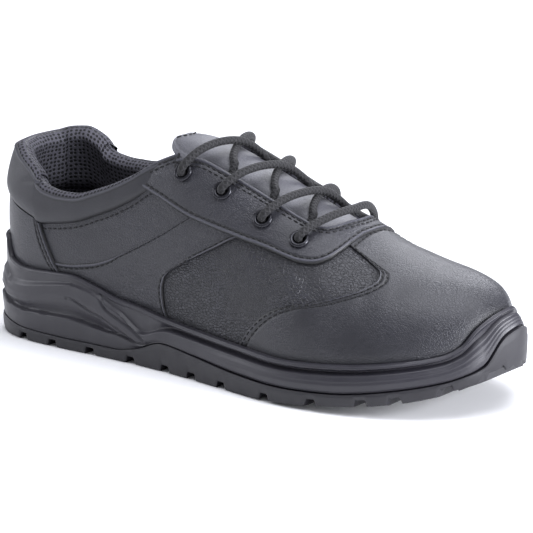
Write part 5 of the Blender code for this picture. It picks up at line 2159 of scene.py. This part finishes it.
@dataclass
class Outsole:
    """Rubber outsole: side band with its lip, lugs that show as notches along its edge, and the tread."""

    steps: int = 420
    across: int = 96
    slope: float = 0.8 * MM
    bar_pitch: float = 14 * MM
    bar_reach: float = 1.8 * MM

    def notch(self, x: Array) -> Array:
        """How far each place lies inside a gap between lugs, from 0 to 1, with sloped walls.

        Args:
            x: Distance from the back of the heel.

        Returns:
            The share of the gap's depth.
        """
        found = np.zeros(np.shape(x))
        for share in LUG_GAPS:
            inside = (LUG_GAP + self.slope) / 2 - np.abs(x - share * LENGTH)
            found = np.maximum(found, smooth(inside / self.slope))
        return found

    def tread(self, x: Array, y: Array, inset: Array) -> Array:
        """Height of the tread over the ground line: gaps outside, a channel, and slanted bars in the middle.

        Args:
            x: Distance from the back of the heel.
            y: Distance from the middle.
            inset: Distance from the edge.

        Returns:
            The heights.
        """
        gap = self.notch(x) * smooth((TREAD_INSET + CHANNEL / 2 - inset) / MM)
        middle = TREAD_INSET + CHANNEL / 2
        channel = smooth(((CHANNEL + self.slope) / 2 - np.abs(inset - middle)) / self.slope)
        place = np.abs(((x + 0.5 * np.abs(y)) / self.bar_pitch) % 1 - 0.5) * self.bar_pitch
        bars = smooth((self.bar_reach - place) / self.slope) * smooth((inset - TREAD_INSET - CHANNEL) / MM)
        return LUG_DEPTH * np.maximum(np.maximum(gap, 0.8 * channel), bars)

    def build(self, material: bpy.types.Material) -> bpy.types.Object:
        """Makes the outsole.

        Args:
            material: Its finish.

        Returns:
            The object.
        """
        plan, out, _ = outline_points(self.steps)
        x = plan[:, 0]
        ground, line = sole_height("ground", x), sole_height("line", x)
        notch = LUG_DEPTH * self.notch(x)
        loops = [
            plan_loop(LIP_WALL, plate_height, self.steps),
            plan_loop(LIP_WALL, line, self.steps),
            plan_loop(0.5 * LIP_WALL, line, self.steps),
        ]
        for share in np.linspace(1, 0, 12):
            low = ground + notch + 0.4 * MM
            bulge = 0.1 * LIP_WALL + 0.25 * MM * np.cos(math.pi * share) ** 2 * (share > 0.9)
            inset = bulge + 0.55 * MM * (1 - share) ** 3
            loops.append(plan_loop(inset, low + share * (line - low), self.steps))
        edge = plan_loop(0.7 * LIP_WALL, ground + notch, self.steps)
        loops.append(edge)
        points = np.array(loops)
        faces = ring_faces(*points.shape[:2], caps=(True, False))
        half = self.steps
        index = np.arange(half + 1)
        outer, inner = edge[index % (2 * half)], edge[(2 * half - index) % (2 * half)]
        t = np.linspace(0, 1, self.across)[1:-1]
        fill = outer[:, None] * (1 - t[:, None]) + inner[:, None] * t[:, None]
        width = np.linalg.norm(inner - outer, axis=1)[:, None]
        inset = np.minimum(t, 1 - t) * width
        at_x, at_y = fill[..., 0] - SHIFT[0], fill[..., 1] - SHIFT[1]
        fill[..., 2] = sole_height("ground", at_x) + self.tread(at_x, at_y, inset)
        base = points.shape[0] * points.shape[1]
        last_ring = base - 2 * half
        left = last_ring + index % (2 * half)
        right = last_ring + (2 * half - index) % (2 * half)
        inside = base + np.arange(fill.shape[0] * fill.shape[1]).reshape(fill.shape[:2])
        numbers = np.concatenate([left[:, None], inside, right[:, None]], axis=1)[1:-1]
        quads = np.stack([numbers[:-1, :-1], numbers[:-1, 1:], numbers[1:, 1:], numbers[1:, :-1]], -1)
        faces += quads.reshape(-1, 4).tolist()
        for row, tip in ((numbers[0], left[0]), (numbers[-1], left[-1])):
            faces += [[int(tip), int(a), int(b)] for a, b in zip(row[:-1], row[1:])]
        everything = np.vstack([points.reshape(-1, 3), fill.reshape(-1, 3)])
        return make_piece("outsole_tread", everything, faces, material, "outsole")


@dataclass
class Insole:
    """Footbed with a rounded upper edge, dished a little under the heel and the ball."""

    steps: int = 200
    rounding: float = 1.2 * MM
    shelf: float = 9 * MM
    dish: float = 0.6 * MM

    def build(self, material: bpy.types.Material) -> bpy.types.Object:
        """Makes the insole.

        Args:
            material: Its finish.

        Returns:
            The object.
        """
        edge = FEATHER_INSET + WALL + INSOLE_GAP
        bed = partial(sole_height, "bed")
        loops = [plan_loop(edge, bed, self.steps, GAP)]
        for turn in np.linspace(0, math.pi / 2, 5):
            inset = edge + self.rounding * (1 - math.cos(turn))
            rise = INSOLE_THICKNESS - self.rounding * (1 - math.sin(turn))
            loops.append(plan_loop(inset, bed, self.steps, GAP + rise))
        loops.append(plan_loop(edge + self.shelf, bed, self.steps, GAP + INSOLE_THICKNESS - self.dish))
        points = np.array(loops)
        faces = ring_faces(*points.shape[:2])
        return make_piece("footbed", points, faces, material, "insole")


@dataclass
class Studio:
    """Pale floor, soft lights and the camera at the photograph's angle."""

    azimuth: float = 36.35
    elevation: float = 13.84
    distance: float = 1.4636
    focal: float = 3034.9
    picture: float = 533.0
    centre: tuple = (258.3, 272.39)
    target: tuple = (0.150, 0.0, 0.045)
    floor_reach: float = 6.0
    surroundings: float = 0.38
    cool: tuple = (0.92, 0.935, 1.0)
    lights: tuple = (
        # name, place, size, power, aim
        ("overhead", (0.28, 0.0, 1.50), 1.3, 25.0, (0.05, 0.0, 0.05)),
        ("behind", (-0.50, 1.45, 1.15), 1.0, 16.0, (0.05, 0.0, 0.08)),
        ("heel", (-1.35, -0.55, 0.60), 0.8, 8.0, (-0.10, 0.0, 0.05)),
        ("toe", (1.45, 0.25, 0.40), 0.7, 42.0, (0.12, 0.0, 0.05)),
    )

    def build(self) -> None:
        """Sets the stage."""
        self.build_floor()
        self.build_lights()
        self.build_camera()

    def build_floor(self) -> None:
        """Plain pale floor."""
        mesh = bpy.data.meshes.new("floor")
        far = self.floor_reach
        mesh.from_pydata([(-far, -far, 0), (far, -far, 0), (far, far, 0), (-far, far, 0)], [], [(0, 1, 2, 3)])
        material, _, feed_shader = new_material("pale_paper")
        feed_shader({"Base Color": linear("fafafa"), "Roughness": 0.9})
        mesh.materials.append(material)
        floor = bpy.data.objects.new("floor", mesh)
        floor.location = (0, 0, -0.05 * MM)
        bpy.context.scene.collection.objects.link(floor)
        floor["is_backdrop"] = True

    def build_lights(self) -> None:
        """White surroundings and soft boxes."""
        world = bpy.data.worlds.new("studio")
        world.use_nodes = True
        shade = world.node_tree.nodes["Background"]
        shade.inputs["Color"].default_value = (*self.cool, 1)
        shade.inputs["Strength"].default_value = self.surroundings
        bpy.context.scene.world = world
        for name, place, size, power, aim in self.lights:
            data = bpy.data.lights.new(name, "AREA")
            data.energy = power
            data.color = self.cool
            data.size = size
            lamp = bpy.data.objects.new(name, data)
            lamp.location = place
            lamp.rotation_euler = (Vector(aim) - Vector(place)).to_track_quat("-Z", "Y").to_euler()
            bpy.context.scene.collection.objects.link(lamp)

    def build_camera(self) -> None:
        """Camera fitted to the photograph: turned, raised and far off, with its centre shifted."""
        data = bpy.data.cameras.new("camera")
        data.sensor_width = 36.0
        data.lens = self.focal / self.picture * data.sensor_width
        data.shift_x = (self.picture / 2 - self.centre[0]) / self.picture
        data.shift_y = (self.centre[1] - self.picture / 2) / self.picture
        data.clip_end = 50
        turn, rise = math.radians(self.azimuth), math.radians(self.elevation)
        target = Vector(self.target) + Vector(SHIFT)
        away = Vector((math.sin(turn) * math.cos(rise), -math.cos(turn) * math.cos(rise), math.sin(rise)))
        camera = bpy.data.objects.new("camera", data)
        camera.location = target + away * self.distance
        camera.rotation_euler = (-away).to_track_quat("-Z", "Y").to_euler()
        bpy.context.scene.collection.objects.link(camera)
        bpy.context.scene.camera = camera
        bpy.context.scene.view_settings.view_transform = "Standard"


def main() -> None:
    """Builds the shoe piece by piece, in the order in which it is made."""
    logging.basicConfig(level=logging.INFO, format="%(message)s")
    Studio().build()
    hide = Leather("smooth_hide", "2a2a31", pebble=1.2 * MM, depth=0.12 * MM, wrinkle=0.25 * MM).build()
    grained = Leather("fine_grained_hide", pebble=1.3 * MM, depth=0.20 * MM).build()
    # Pebbled hide: its valleys are painted much darker as shade.
    pebbled = Leather("pebbled_hide", pebble=1.25 * MM, depth=0.45 * MM, stretch=0.62, valley_shade=0.35).build()
    toe = Leather("toe_hide", colour="25252b", pebble=1.1 * MM, depth=0.08 * MM, roughness=0.40).build()
    soft = Leather("collar_hide", colour="28282e", pebble=0.7 * MM, depth=0.02 * MM, roughness=0.52).build()
    # Tongue hide: a paler grey, lightened further to paint the light on its top.
    pale = Leather("tongue_hide_lit", colour="59595f", worn="6a6a72", pebble=1.0 * MM, depth=0.08 * MM).build()
    mesh = SpacerMesh("spacer_mesh").build()
    # Its dark colour is painted shade between the strands.
    thread = Braid("bonded_thread", colour="101013", dark="060608", strands=3.0, pitch=1.2 * MM).build()

    stitching = Stitching()
    Outsole().build(Rubber("outsole_rubber_skin", colour="1b1a1f", roughness=0.5).build())
    Midsole().build(Rubber("midsole_skin").build())
    Insole().build(Felt("needled_felt").build())
    LOG.info("sole")
    upper = Upper(stitching)
    upper.build_shell(pebbled, mesh)
    LOG.info("shell")
    upper.build_panels(hide, grained, toe)
    upper.build_collar(soft, mesh)
    Tongue().build(pale, stitching)
    eyelets = Eyelets()
    eyelets.pierce(("eyestay", "side_panels", "lining"))
    eyelets.build(Enamel("enamelled_steel").build())
    Lace().build(Braid("braided_lace").build())
    stitching.build(thread)
    LOG.info("stitches in %d rows", stitching.rows)


if __name__ == "__main__":
    main()
